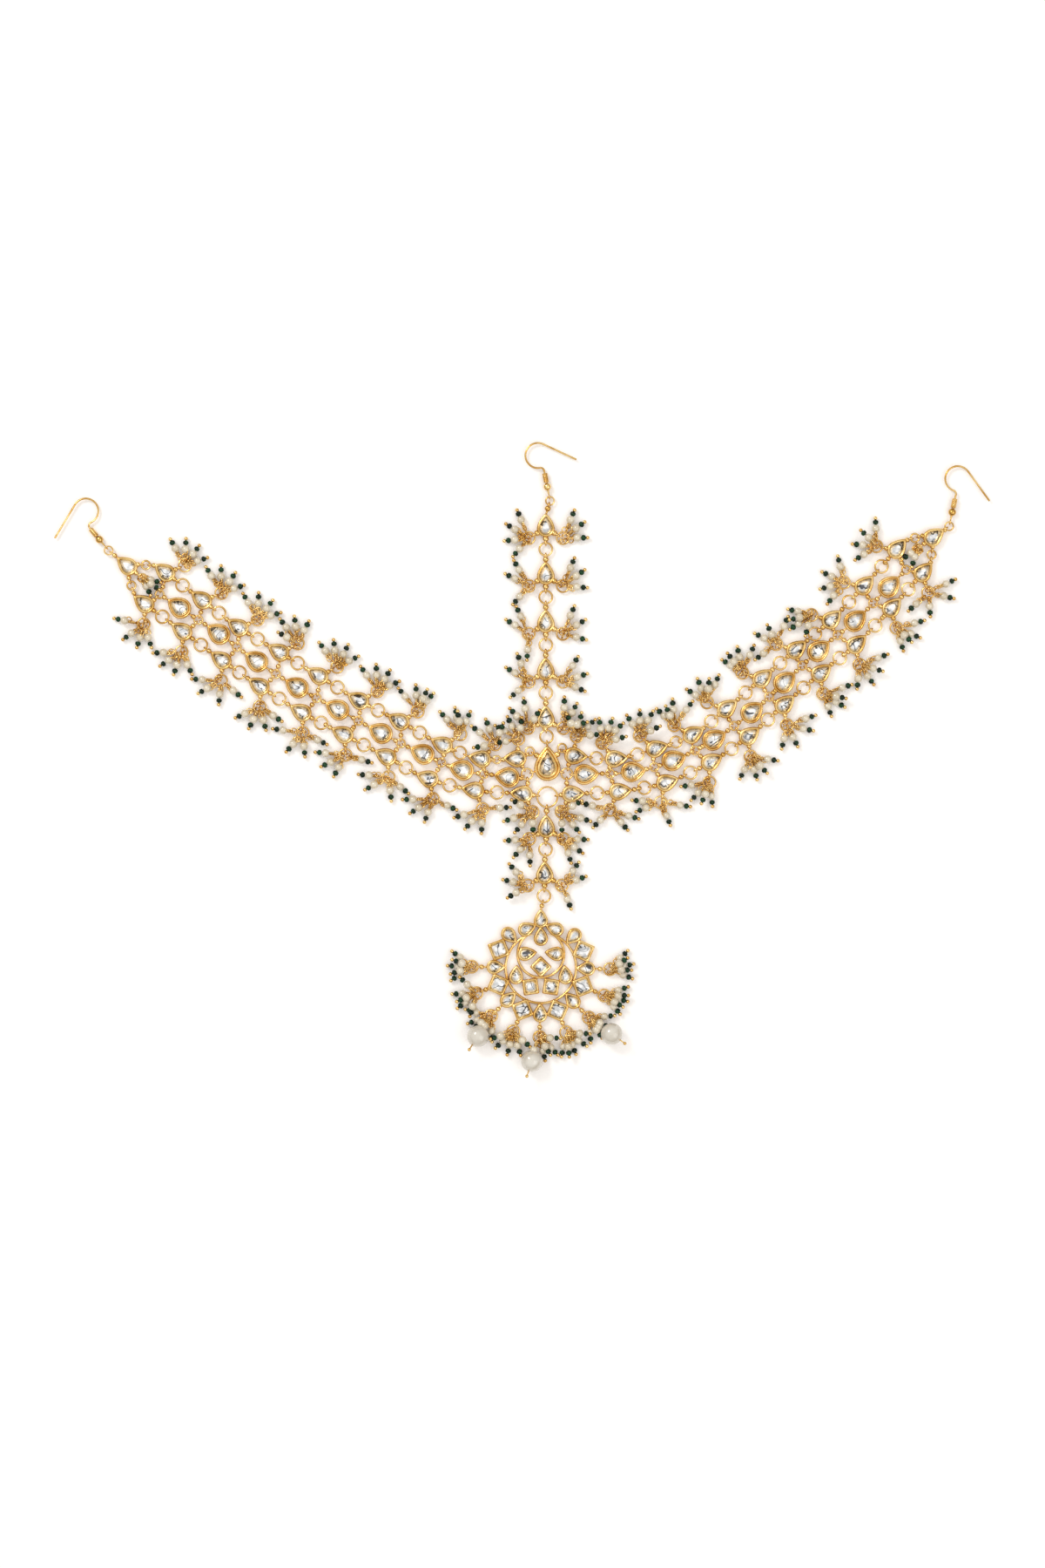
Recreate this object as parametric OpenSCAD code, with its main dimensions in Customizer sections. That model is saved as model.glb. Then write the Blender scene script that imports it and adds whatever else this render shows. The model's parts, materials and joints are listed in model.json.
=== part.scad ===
// Matha patti, a bridal head jewel, lying on its back on the plane z = 0 as it is worn seen from the front.
// Two arms of three linked rows run out to an ear hook, a parting chain climbs from the middle stone
// to a hair hook, and a crescent pendant hangs below. Pearl clusters fringe every edge.
// X runs along the jewel, Y towards the hair hook and Z off the head. Heights are above the surface it lies on.

/* [Settings] */
// Half width of a small pear setting
small_r = 3.15; // [2.9:0.05:3.2]
// Reach of a small setting's tip from the middle of its round end
small_tip = 5.4; // [5:0.1:5.6]
// Rim width of a small setting
small_rim = 0.8; // [0.6:0.05:0.9]
// Half width of a middle row setting
row_r = 3.9; // [3.6:0.05:3.95]
// Reach of a middle row setting's tip
row_tip = 5.8; // [5.5:0.1:5.9]
// Rim width of a middle row setting
row_rim = 1.25; // [1:0.05:1.4]
// Half width of the large middle setting
large_r = 4.95; // [4.8:0.05:5]
// Reach of the large middle setting's tip
large_tip = 8.6; // [8.2:0.1:8.7]
// Width of the lower step of the large setting
large_step = 1.1; // [0.8:0.1:1.3]
// Height of a setting
setting_h = 2.1; // [1.9:0.05:2.3]
// Thickness of the floor under a stone
setting_floor = 0.5; // [0.4:0.1:0.8]

/* [Wire] */
// Radius of the wire of links and eyes
wire = 0.3; // [0.25:0.05:0.35]
// Radius of a row link, to the middle of its wire
link_r = 2.45; // [2.3:0.05:2.5]
// Radius of a knot link between the rows
knot_r = 1.6; // [1.6:0.05:1.7]
// Radius of the large ring under the middle stone
ring_r = 3.85; // [3.7:0.05:3.9]
// Radius of an eye, to the middle of its wire
eye_r = 0.8; // [0.75:0.05:0.85]
// Radius of the solder ball on an arm
ball_r = 0.65; // [0.55:0.05:0.7]
// Radius of a hook's wire
hook_wire = 0.38; // [0.35:0.01:0.4]

/* [Beads] */
// Radius of a small pearl
pearl_r = 1.5; // [1.4:0.05:1.5]
// Radius of a seed bead
seed_r = 1.05; // [0.95:0.05:1.1]
// Radius of a large pendant pearl
large_pearl_r = 4.2; // [4:0.1:4.3]
// Reach of a cluster's seed beads from the eye that carries it
cluster_reach = 10; // [9.5:0.1:10.2]

/* [Hidden] */
$fn = 32;

// Everything is drawn about the lower end of the parting chain, and this centres the finished outline.
frame_shift = [-0.347, -0.162, 0];

gold = "goldenrod";
glass = "lightcyan";
pearl = "ivory";

// All the wirework lies at one height, where a small pearl rests on the surface.
wire_z = 1.5;
eye_outer = eye_r + wire;
ball_gap = 1.45;
// A stem is thick up to its solder ball and thinner than the wire past it.
stem_r = 0.35;
neck_r = 0.26;
side_turn = 120;
arm_reach = 2.05;
gap = 0.15;

// A setting's size has the columns round end radius, tip reach, rim, height.
SMALL = [small_r, small_tip, small_rim, setting_h];
ROW = [row_r, row_tip, row_rim, setting_h];
LARGE = [large_r, large_tip, 2.0, 3.2];
PETAL = [2.6, 4.5, 0.75, 2.0];
bow = 70;

// A row lists its settings from the middle outwards, one x, y pair each.
LEFT_UPPER = [[-2.5, 0.5], [-16, 0.5], [-30.5, 6], [-47, 15], [-62.5, 23],
    [-78, 32.5], [-93, 41.5], [-108.5, 51], [-122.5, 61.5], [-136.5, 72]];
LEFT_MIDDLE = [[-5.5, -6.5], [-23, -3.7], [-38, 2.5], [-54, 10.5], [-70.5, 19.5],
    [-86, 28], [-101.5, 38], [-116, 48.5], [-131, 58.5]];
LEFT_LOWER = [[0, -13], [-18.5, -11.5], [-36, -7], [-52, 1.5], [-68.5, 10],
    [-84.5, 18.5], [-100.5, 28.5], [-115, 38.5], [-130, 49.5], [-144.5, 60]];
RIGHT_UPPER = [[21, 1.5], [36.5, 0.5], [52, 4.5], [66, 10], [79, 20],
    [92.5, 31.5], [105.5, 42.5], [119, 54], [131.5, 67], [144, 81]];
RIGHT_MIDDLE = [[25, -5.5], [43, -4.4], [58.5, 0], [74, 8], [88.5, 18.5],
    [101, 30], [114, 42], [128, 53.5], [141, 66.5]];
RIGHT_LOWER = [[20, -13], [38, -12], [56, -8.5], [73, -0.5], [87.5, 9.5],
    [101, 21.5], [115, 33.5], [128.5, 44.5], [142, 58.5], [154, 72]];

// An end setting has the columns x, y, heading of its tip.
LEFT_END = [-151, 74.5, 141];
RIGHT_END = [158, 85.5, 36];

// The link beside the middle stone that gathers the three rows, and the small one above it.
LEFT_GATHER = [2.2, -5.4];
RIGHT_GATHER = [17.45, -5.3];
LEFT_SHOULDER = [3.3, 3.3];
RIGHT_SHOULDER = [15.6, 4.6];
gather_r = 2.1;

// The parting chain and the two settings under the middle stone all point to the hair hook.
parting_x = 9.4;
parting_y = 16.5;
parting_pitch = 18.3;
PARTING = [for (i = [0:4]) [parting_x, parting_y + parting_pitch * i]];
MIDDLE = [10, -1.2];
LOWER = [[9.6, -25.3], [9, -43.1]];
RING = [10, -14.2];
PENDANT_LINK = [8.7, -52];

// A hook has the columns x, y of its loop, heading and length of its shank, side it bends to, first bend,
// main bend, tail.
LEFT_HOOK = [-158.8, 81.3, 130, 9.7, -1, 106, 215, 15];
TOP_HOOK = [10.7, 100.6, 101, 10.2, 1, 89, 215, 14];
RIGHT_HOOK = [164, 90.9, 78, 10.8, 1, 83, 215, 14];
hook_bead_r = 1.5;
hook_bead_at = 3.9;
hook_kick_r = 1.3;
hook_bend_r = 4.8;

// A fan lists the turns of a cluster's drops from the way its eye points, one row a cluster.
LEFT_UPPER_FANS = [[50, 22], [80, 50], [84, 54, 24], [84, 50, 13], [80, 50, 22, -5],
    [84, 56, 27, -2], [84, 56, 27], [80, 50, 20, -7], [84, 55, 25, -3], [82, 52, 24, -3]];
LEFT_LOWER_FANS = [[-84, -54], [-80, -50, -18, 60], [-84, -54, -22, 45], [-84, -52, 3, 38],
    [-84, -54, -24, 58], [-84, -32, 4, 52], [-50, -18, 14, 48], [-74, -44, 0, 45], [-68, -40, -10, 24],
    [-82, -38, -8, 19]];
RIGHT_UPPER_FANS = [[-2, -30], [-22, -47, -69], [-12, -38, -63], [-10, -45, -84], [-9, -37, -79],
    [-10, -48, -80], [-5, 45, -80], [2, 40], [-52, -10, 22, 53], [-63, 5, 35]];
RIGHT_LOWER_FANS = [[85, 55], [-67, -16, 52, 82], [-69, -46, 27, 80], [6, -36, -68], [6, -26, 60],
    [84, 54, 12, -18], [84, 38, 8], [84, 18, -14], [74, 40, 0], [84, 47, -10, -53]];
PARTING_LEFT_FANS = [[-98, -65], [-84, -50, 8], [-82, -50, 45], [-76, -46, 15], [-84, -50, -18, 15]];
PARTING_RIGHT_FANS = [[105, 78], [75, 38, 5], [84, 50, 12], [84, 54, 20], [84, 54, 24]];
LOWER_LEFT_FANS = [[-20, 15, 50], [-66, -34]];
LOWER_RIGHT_FANS = [[22, -5, -33], [70, 40, -30]];
LEFT_END_FAN = [-20, 20];
RIGHT_END_FAN = [-1, 29];
PENDANT_FANS = [[-29, -1, 27], [-15, 13], [-47, -20, 38], [-18, 7, 32], [11, 37],
    [-25, 2, 27], [-31, 40], [-20, 7, 34], [-17, 10, 37]];
// The clusters beside the middle stone swing clear of each other.
left_swing = 28;
right_swing = -36;
parting_swing = 15;

// A large pearl has the columns cluster that it hangs from, turn, reach from the eye.
LEFT_PEARL = [2, 10, 11.4];
MIDDLE_PEARL = [4, -14, 11.7];
RIGHT_PEARL = [6, 9, 12.9];

// The pendant's plate, about the middle of its crescent.
PENDANT = [7.5, -79.5];
crescent_r = 13.5;
crescent_inner_r = 8.9;
crescent_rise = 5.2;
crescent_top = 12.8;
crescent_wire = 0.4;
crescent_h = 1.3;
petal_ring_r = 17.1;
square_ring_r = 17.5;
petal_pitch = 22.5;
petal_first = 269;
petal_half = 6;
square_side = 6.6;
square_inner = 5.8;
square_rim = 0.8;
plate_eye_r = 24.1;
// An inner stone has the columns is square, x, y, heading, side.
INNER = [[false, 0, 18.9, 90], [false, 0, 12.1, 90], [false, -5.15, 15.05, 22], [false, 5.15, 15, 158],
    [false, -5.15, 5.5, 8], [false, 5.15, 5.5, 172], [false, -9.4, -2.6, 86], [false, 9.4, -2.6, 94],
    [true, 0, 0.4, 45], [true, -3.9, -7.2, 8], [true, 3.9, -7.2, -8]];

// Small vector helpers.
function u(a) = [cos(a), sin(a)];
function heading(v) = atan2(v[1], v[0]);
function unit(v) = v / norm(v);

// The middle of a setting's round end, given the middle of its length and its heading.
function round_end(p, h, s) = p - (s[1] - s[0]) / 2 * u(h);
// Points on the outline where an arm is soldered: the tip, the tail and a side.
function tip_root(p, h, s) = round_end(p, h, s) + (s[1] - 0.5) * u(h);
function tail_root(p, h, s) = round_end(p, h, s) - (s[0] - 0.4) * u(h);
function side_root(p, h, s, side, swing = 0) = round_end(p, h, s) + (s[0] - 0.4) * u(h + side * side_turn + swing);
// The eye on a free side of a setting.
function side_eye(p, h, s, side, swing = 0) =
    round_end(p, h, s) + (s[0] + arm_reach) * u(h + side * side_turn + swing);

// A row's heading at one of its settings, along the chord between its neighbours.
function row_heading(row, i) = heading(row[min(i + 1, len(row) - 1)] - row[max(i - 1, 0)]);
// The link between two neighbours of a row, and its radius, which a short gap makes smaller.
function row_tip_end(row, i, s) = round_end(row[i], row_heading(row, i), s) + s[1] * u(row_heading(row, i));
function row_tail_end(row, i, s) = round_end(row[i], row_heading(row, i), s) - s[0] * u(row_heading(row, i));
function link_at(row, i, s) = (row_tip_end(row, i, s) + row_tail_end(row, i + 1, s)) / 2;
function link_size(row, i, s) =
    min(link_r, norm(row_tip_end(row, i, s) - row_tail_end(row, i + 1, s)) / 2 - eye_outer - 0.05);
// The knot inside setting i of the outer rows: at the middle row's tips, and past its last one.
function knot_at(middle, i) =
    i < len(middle) ? link_at(middle, i - 1, ROW)
    : row_tip_end(middle, len(middle) - 1, ROW) + 3.9 * u(row_heading(middle, len(middle) - 1));
// An eye that hooks on a link faces the root of its arm.
function eye_on(link, r, root) = link + r * unit(root - link);

// A pear outline: a round end about the origin and bowed flanks that meet at a tip on +X, inset by d.
module pear(s, d = 0) {
    flank = flank_r(s);
    circle(s[0] - d);
    intersection() {
        translate(-(flank - s[0]) * u(bow)) circle(flank - d);
        translate(-(flank - s[0]) * u(-bow)) circle(flank - d);
        polygon([[0, 0], 2 * s[1] * u(bow), [3 * s[1], 0], 2 * s[1] * u(-bow)]);
    }
}
function flank_r(s) =
    (s[1] * s[1] + s[0] * s[0] - 2 * s[1] * s[0] * cos(bow)) / (2 * (s[0] - s[1] * cos(bow)));

// Points of the pear outline, inset by d: the tip, one flank, the round end and the other flank.
flank_steps = 3;
round_steps = 6;
function pear_points(s, d) = let (
    flank = flank_r(s),
    middle = -(flank - s[0]) * u(bow),
    tip_turn = asin(-middle[1] / (flank - d)),
    turns = [for (i = [0:flank_steps]) tip_turn + (bow - tip_turn) * i / flank_steps],
    side = [for (t = turns) middle + (flank - d) * u(t)],
    round = [for (i = [1:round_steps - 1]) (s[0] - d) * u(bow + (360 - 2 * bow) * i / round_steps)]
) concat(side, round, [for (i = [flank_steps:-1:1]) [side[i][0], -side[i][1]]]);
function square_points(side, cut) = let (h = side / 2)
    [[h, -h + cut], [h, h - cut], [h - cut, h], [-h + cut, h],
        [-h, h - cut], [-h, -h + cut], [-h + cut, -h], [h - cut, -h]];

// A cut stone: a flat back, a girdle and a crown of facets up to its table.
stone_back = 0.15;
stone_girdle = 1.2;
stone_table = 0.55;
module stone(points, z, top) {
    n = len(points);
    middle = [for (axis = [0, 1]) (max([for (p = points) p[axis]]) + min([for (p = points) p[axis]])) / 2];
    back = [for (p = points) [p[0], p[1], z + stone_back]];
    girdle = [for (p = points) [p[0], p[1], z + stone_girdle]];
    table = [for (p = points) concat(middle + stone_table * (p - middle), [top])];
    polyhedron(concat(back, girdle, table), concat(
        [[for (i = [0:n - 1]) i]],
        [for (i = [0:n - 1], level = [0, n])
            [level + n + i, level + n + (i + 1) % n, level + (i + 1) % n, level + i]],
        [[for (i = [n - 1:-1:0]) 2 * n + i]]
    ));
}
module place(p, h, s) {
    translate(round_end(p, h, s)) rotate(h) children();
}
module set_stone(p, h, s) {
    color(glass) place(p, h, s) stone(pear_points(s, s[2] + gap), setting_floor, s[3] + 0.4);
}

// A torus about Z, and one as a flat link at the height of the wirework.
module torus(r, w) {
    rotate_extrude() translate([r, 0]) circle(w);
}
module link(p, r) {
    translate([p[0], p[1], wire_z]) torus(r, wire);
}
// An upright eye of wire about the origin.
module eye() {
    rotate([90, 0, 0]) torus(eye_r, wire);
}
// A turned stem along +X up to the wire it is soldered to, with a solder ball on it.
module stem(reach, ball_at) {
    rotate([0, 90, 0]) rotate_extrude() intersection() {
        union() {
            square([neck_r, reach]);
            square([stem_r, ball_at]);
            translate([0, ball_at]) circle(ball_r);
        }
        square([2 * ball_r, reach]);
    }
}
// A soldered arm from its root to the middle of its eye. A short one has no room for the ball.
// One that carries a link has its neck soldered on to the link's wire in the middle of the eye.
module arm(root, eye_at, carries = false) {
    reach = norm(eye_at - root);
    neck = carries ? reach : reach - eye_r;
    translate([root[0], root[1], wire_z]) rotate(heading(eye_at - root)) {
        if (reach > ball_gap + 0.4) stem(neck, reach - ball_gap);
        else rotate([0, 90, 0]) cylinder(r = neck_r, h = neck);
        translate([reach, 0, 0]) eye();
    }
}
// An arm with the link that it carries.
module link_arm(root, at, r) {
    arm(root, eye_on(at, r, root), carries = true);
    link(at, r);
}

// A pear setting: walls with a stepped rim round the pocket of its stone.
rim_step = 0.3;
module cup(p, h, s) {
    place(p, h, s) difference() {
        union() {
            linear_extrude(s[3] - rim_step / 2) pear(s);
            linear_extrude(s[3]) pear(s, rim_step);
        }
        translate([0, 0, setting_floor]) linear_extrude(s[3]) pear(s, s[2]);
    }
}

// One setting of an outer row: arms to its two links, to the knot inside it and to its own cluster.
// Its tail carries the link before it, and the last setting's tip carries the link to the end setting.
module row_setting(row, middle, i, inward, ends) {
    h = row_heading(row, i);
    p = row[i];
    tip = tip_root(p, h, SMALL);
    tail = tail_root(p, h, SMALL);
    swing = i > 0 ? 0 : ends[3];
    inner = i > 0 ? knot_at(middle, i) : ends[2];
    inner_r = i > 0 ? knot_r : gather_r;
    cup(p, h, SMALL);
    if (i < len(row) - 1) arm(tip, eye_on(link_at(row, i, SMALL), link_size(row, i, SMALL), tip));
    else link_arm(tip, ends[1], knot_r);
    if (i > 0) link_arm(tail, link_at(row, i - 1, SMALL), link_size(row, i - 1, SMALL));
    else arm(tail, eye_on(ends[0][0], ends[0][1], tail));
    arm(side_root(p, h, SMALL, inward), eye_on(inner, inner_r, side_root(p, h, SMALL, inward)));
    arm(side_root(p, h, SMALL, -inward, swing), side_eye(p, h, SMALL, -inward, swing));
}
// An outer row. Its ends are the link at its middle end with its radius, the link that joins it to the end
// setting, the link that gathers the rows and the swing of its first cluster.
module outer_row(row, middle, inward, ends) {
    color(gold) for (i = [0:len(row) - 1]) row_setting(row, middle, i, inward, ends);
}
// The middle row: each setting after the first carries the knot link soldered to its tail, and the last one
// carries the knot past its tip as well.
module middle_row(middle, gather) {
    last = len(middle) - 1;
    color(gold) for (i = [0:last]) {
        h = row_heading(middle, i);
        root = tail_root(middle[i], h, ROW);
        tip = tip_root(middle[i], h, ROW);
        cup(middle[i], h, ROW);
        if (i < last) arm(tip, eye_on(knot_at(middle, i + 1), knot_r, tip));
        else knot_arm(tip, knot_at(middle, last + 1));
        if (i == 0) arm(root, eye_on(gather, gather_r, root));
        else knot_arm(root, knot_at(middle, i));
    }
}
module knot_arm(root, knot) {
    reach = norm(knot - root) - knot_r;
    translate([root[0], root[1], wire_z]) rotate(heading(knot - root)) {
        stem(reach, reach - 0.6);
        translate([reach + knot_r, 0, 0]) torus(knot_r, wire);
    }
}

// The link from an end setting's side to the last setting of a row.
function end_link(end, side, row) = let (
    h = row_heading(row, len(row) - 1),
    near = side_root([end[0], end[1]], end[2], SMALL, side),
    far = tip_root(row[len(row) - 1], h, SMALL)
) (near + far) / 2;
function hook_link_at(hook) = [hook[0], hook[1]] - knot_r * u(hook[2]);
module end_setting(end, hook, upper, lower, upper_side) {
    p = [end[0], end[1]];
    h = end[2];
    color(gold) {
        cup(p, h, SMALL);
        arm(tip_root(p, h, SMALL), eye_on(hook_link_at(hook), knot_r, tip_root(p, h, SMALL)));
        for (pair = [[upper_side, upper], [-upper_side, lower]]) {
            root = side_root(p, h, SMALL, pair[0]);
            arm(root, eye_on(end_link(end, pair[0], pair[1]), knot_r, root));
        }
        arm(tail_root(p, h, SMALL), tail_eye(p, h));
    }
}
function tail_eye(p, h) = round_end(p, h, SMALL) - (SMALL[0] + arm_reach) * u(h);

// A setting of the parting chain, or under the middle stone, with the link below it that its tail carries.
module chain_setting(p, above, above_r, below) {
    color(gold) {
        cup(p, 90, SMALL);
        arm(tip_root(p, 90, SMALL), eye_on(above, above_r, tip_root(p, 90, SMALL)));
        link_arm(tail_root(p, 90, SMALL), below, link_r);
        for (side = [-1, 1]) arm(side_root(p, 90, SMALL, side), side_eye(p, 90, SMALL, side));
    }
}
middle_link = (PARTING[0] - [0, (small_r + small_tip) / 2] + MIDDLE + [0, (large_r + large_tip) / 2]) / 2;
function parting_link(i) = i == 0 ? middle_link : (PARTING[i] + PARTING[i - 1]) / 2;
module parting_setting(i) {
    top = i == len(PARTING) - 1;
    chain_setting(PARTING[i], top ? hook_link_at(TOP_HOOK) : parting_link(i + 1), top ? knot_r : link_r,
        parting_link(i));
}
lower_link = (LOWER[0] + LOWER[1]) / 2;

// The large middle setting: two steps, an arm at the tip and four at its sides.
module middle_setting() {
    p = round_end(MIDDLE, 90, LARGE);
    color(gold) {
        place(MIDDLE, 90, LARGE) difference() {
            union() {
                linear_extrude(setting_h) pear(LARGE);
                linear_extrude(LARGE[3]) pear(LARGE, large_step);
            }
            translate([0, 0, 1]) linear_extrude(LARGE[3]) pear(LARGE, LARGE[2]);
        }
        arm(tip_root(MIDDLE, 90, LARGE), eye_on(middle_link, link_r, tip_root(MIDDLE, 90, LARGE)));
        for (pair = [[LEFT_GATHER, gather_r], [RIGHT_GATHER, gather_r],
                [LEFT_SHOULDER, knot_r], [RIGHT_SHOULDER, knot_r]]) {
            root = large_root(pair[0]);
            arm(root, eye_on(pair[0], pair[1], root));
        }
    }
}
// An arm of the large setting starts on its round end, or higher on its flank.
flank_root = [3.1, 4.2];
function large_root(link) = let (middle = round_end(MIDDLE, 90, LARGE), away = link - middle)
    middle + (away[1] > 0 ? [sign(away[0]) * flank_root[0], flank_root[1]] : (large_r - 0.5) * unit(away));

// One drop of a cluster as a solid of revolution about +X: stem, pearl, seed bead and end ball.
pearl_back = 2.45;
end_ball_on = 1.55;
module drop(start, seed_at) {
    rotate([0, 90, 0]) rotate_extrude() intersection() {
        union() {
            translate([0, start]) square([0.25, seed_at - start]);
            translate([0, seed_at - pearl_back]) circle(pearl_r);
            translate([0, seed_at]) circle(seed_r);
            translate([0, seed_at + end_ball_on]) circle(ball_r);
        }
        translate([0, start - 1]) square([2 * pearl_r, seed_at]);
    }
}
// A cluster: its own link through the eye, and its fan of drops fused to the link's far side.
module cluster(eye_at, out, fan, reach = cluster_reach, swing = 0, r = link_r - 0.1) {
    middle = eye_at + r * u(out + swing);
    color(pearl) translate([middle[0], middle[1], wire_z]) {
        torus(r, wire);
        for (turn = fan) {
            seed = eye_at + reach * u(out + turn) - middle;
            rotate(heading(seed)) drop(r, norm(seed));
        }
    }
}
module row_clusters(row, inward, fans, swing = 0) {
    for (i = [0:len(row) - 1]) {
        h = row_heading(row, i);
        turn = i == 0 ? swing : 0;
        cluster(side_eye(row[i], h, SMALL, -inward, turn), h - inward * side_turn + turn, fans[i]);
    }
}
module chain_clusters(chain, side, fans, swing = 0) {
    for (i = [0:len(chain) - 1])
        cluster(side_eye(chain[i], 90, SMALL, side), 90 + side * side_turn, fans[i], swing = i == 0 ? swing : 0);
}
end_reach = 7.2;
module end_cluster(end, fan) {
    cluster(tail_eye([end[0], end[1]], end[2]), end[2] + 180, fan, end_reach, r = knot_r);
}

// A hook: loop, shank through bead and coil, a kick to one side, the main bend back and a straight tail.
module hook(h) {
    side = h[4];
    color(gold) translate([h[0], h[1], wire_z]) rotate(h[2]) {
        eye();
        translate([eye_r, 0, 0]) rotate([0, 90, 0]) cylinder(r = neck_r, h = 1.2);
        translate([eye_outer, 0, 0]) straight(h[3] - eye_outer - joint_gap) translate([joint_gap, 0, 0])
            bend(hook_kick_r, h[5], side) bend(hook_bend_r, h[6], -side) straight(h[7]);
    }
}
// A length of hook wire along +X, and an arc that turns to one side, each with what follows at its end.
// A joint between two of them is a ball a little fatter than the wire, in which both end short of each other.
joint_r = hook_wire + 0.05;
joint_gap = 0.1;
module joint() {
    bead(joint_r, 0);
}
module straight(length) {
    translate([joint_gap, 0, 0]) rotate([0, 90, 0]) cylinder(r = hook_wire, h = length - joint_gap);
    translate([length, 0, 0]) children();
}
module bend(r, turn, side) {
    first = joint_gap / r * 180 / PI;
    joint();
    translate([0, side * r, 0]) {
        rotate(side > 0 ? first - 90 : 90 - turn) rotate_extrude(angle = turn - first)
            translate([r, 0]) circle(hook_wire);
        rotate(side * turn) translate([0, -side * r, 0]) {
            joint();
            children();
        }
    }
}
// A drilled ball about +X.
module bead(r, hole) {
    rotate([0, 90, 0]) rotate_extrude() difference() {
        circle(r);
        translate([-2 * r, -2 * r]) square([2 * r + hole, 4 * r]);
    }
}
module hook_bead(h) {
    color(gold) translate([h[0], h[1], wire_z]) rotate(h[2]) translate([hook_bead_at, 0, 0])
        bead(hook_bead_r, hook_wire + gap);
}
coil_wire = 0.26;
coil_turns = 8;
module hook_coil(h) {
    start = hook_bead_at + hook_bead_r + coil_wire + gap;
    color(gold) translate([h[0], h[1], wire_z]) rotate(h[2]) rotate([0, 90, 0]) rotate_extrude()
        for (i = [0:coil_turns - 1])
            translate([hook_wire + coil_wire + gap, start + i * 1.7 * coil_wire]) circle(coil_wire);
}
module hook_link(h) {
    color(gold) link(hook_link_at(h), knot_r);
}

// The pendant's outer stones alternate between petals that point inwards and squares on their corners.
function petal_turn(i) = petal_first + petal_pitch * i;
OUTER = [for (i = [-petal_half:petal_half]) let (
    a = petal_turn(i),
    square = i % 2 != 0,
    p = (square ? square_ring_r : petal_ring_r) * u(a)
) [square, p[0], p[1], square ? a + 45 : a + 180, square_side]];
STONES = concat(OUTER, [for (s = INNER) concat(s, [square_inner])]);
module at_stone(s) {
    p = s[0] ? [s[1], s[2]] : round_end([s[1], s[2]], s[3], PETAL);
    translate(p) rotate(s[3]) children();
}
module bezel(s, d) {
    at_stone(s) if (s[0]) square(s[4] - 2 * d, center = true); else pear(PETAL, d);
}
module crescent() {
    intersection() {
        union() {
            difference() {
                circle(crescent_r + crescent_wire);
                circle(crescent_r - crescent_wire);
            }
            translate([0, crescent_rise]) difference() {
                circle(crescent_inner_r + crescent_wire);
                circle(crescent_inner_r - crescent_wire);
            }
        }
        translate([-2 * crescent_r, -2 * crescent_r]) square([4 * crescent_r, 2 * crescent_r + crescent_top]);
    }
}
module pendant_plate() {
    top_root = [0, 21.9];
    color(gold) translate(PENDANT) {
        difference() {
            union() {
                linear_extrude(crescent_h) crescent();
                linear_extrude(PETAL[3]) for (s = STONES) bezel(s, 0);
            }
            translate([0, 0, setting_floor]) linear_extrude(PETAL[3]) for (s = STONES)
                bezel(s, s[0] ? square_rim : PETAL[2]);
        }
        for (i = [1 - petal_half + 1:petal_half - 2])
            arm((i % 2 != 0 ? square_ring_r + 3.9 : petal_ring_r + 3.1) * u(petal_turn(i)),
                plate_eye_r * u(petal_turn(i)));
        arm(top_root, eye_on(PENDANT_LINK - PENDANT, link_r, top_root));
    }
}
module pendant_stones() {
    color(glass) translate(PENDANT) for (s = STONES) at_stone(s)
        stone(s[0] ? square_points(s[4] - 2 * (square_rim + gap), 0.9) : pear_points(PETAL, PETAL[2] + gap),
            setting_floor, PETAL[3] + 0.3);
}
function plate_eye(k) = PENDANT + plate_eye_r * u(petal_turn(k - 4));
module pendant_clusters() {
    for (k = [0:len(PENDANT_FANS) - 1]) cluster(plate_eye(k), petal_turn(k - 4), PENDANT_FANS[k]);
}

// A large pearl on its headpin, which slants up from the cluster's link through the pearl.
pin_ball_at = 6.4;
pin_wire = 0.26;
function pin_start(g) = let (out = petal_turn(g[0] - 4), middle = plate_eye(g[0]) + (link_r - 0.1) * u(out))
    middle + (link_r - 0.1) * unit(plate_eye(g[0]) + g[2] * u(out + g[1]) - middle);
function pearl_at(g) = plate_eye(g[0]) + g[2] * u(petal_turn(g[0] - 4) + g[1]);
module on_pin(g) {
    run = pearl_at(g) - pin_start(g);
    translate([pin_start(g)[0], pin_start(g)[1], wire_z]) rotate(heading(run))
        rotate([0, -atan2(large_pearl_r - wire_z, norm(run)), 0]) children();
}
function pearl_run(g) = norm([norm(pearl_at(g) - pin_start(g)), large_pearl_r - wire_z]);
module large_pearl(g) {
    color(pearl) on_pin(g) translate([pearl_run(g), 0, 0]) bead(large_pearl_r, pin_wire + gap);
}
module pearl_pin(g) {
    length = pearl_run(g) + pin_ball_at - eye_r;
    color(gold) on_pin(g) {
        eye();
        translate([eye_r, 0, 0]) rotate([0, 90, 0]) rotate_extrude() intersection() {
            union() {
                square([pin_wire, length]);
                translate([0, length]) circle(ball_r);
            }
            square([2 * ball_r, length + 2 * ball_r]);
        }
    }
}

LEFT_UPPER_ENDS = [[LEFT_SHOULDER, knot_r], end_link(LEFT_END, -1, LEFT_UPPER), LEFT_GATHER, left_swing];
LEFT_LOWER_ENDS = [[RING, ring_r], end_link(LEFT_END, 1, LEFT_LOWER), LEFT_GATHER, 0];
RIGHT_UPPER_ENDS = [[RIGHT_SHOULDER, knot_r], end_link(RIGHT_END, 1, RIGHT_UPPER), RIGHT_GATHER, right_swing];
RIGHT_LOWER_ENDS = [[RING, ring_r], end_link(RIGHT_END, -1, RIGHT_LOWER), RIGHT_GATHER, 0];

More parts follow.
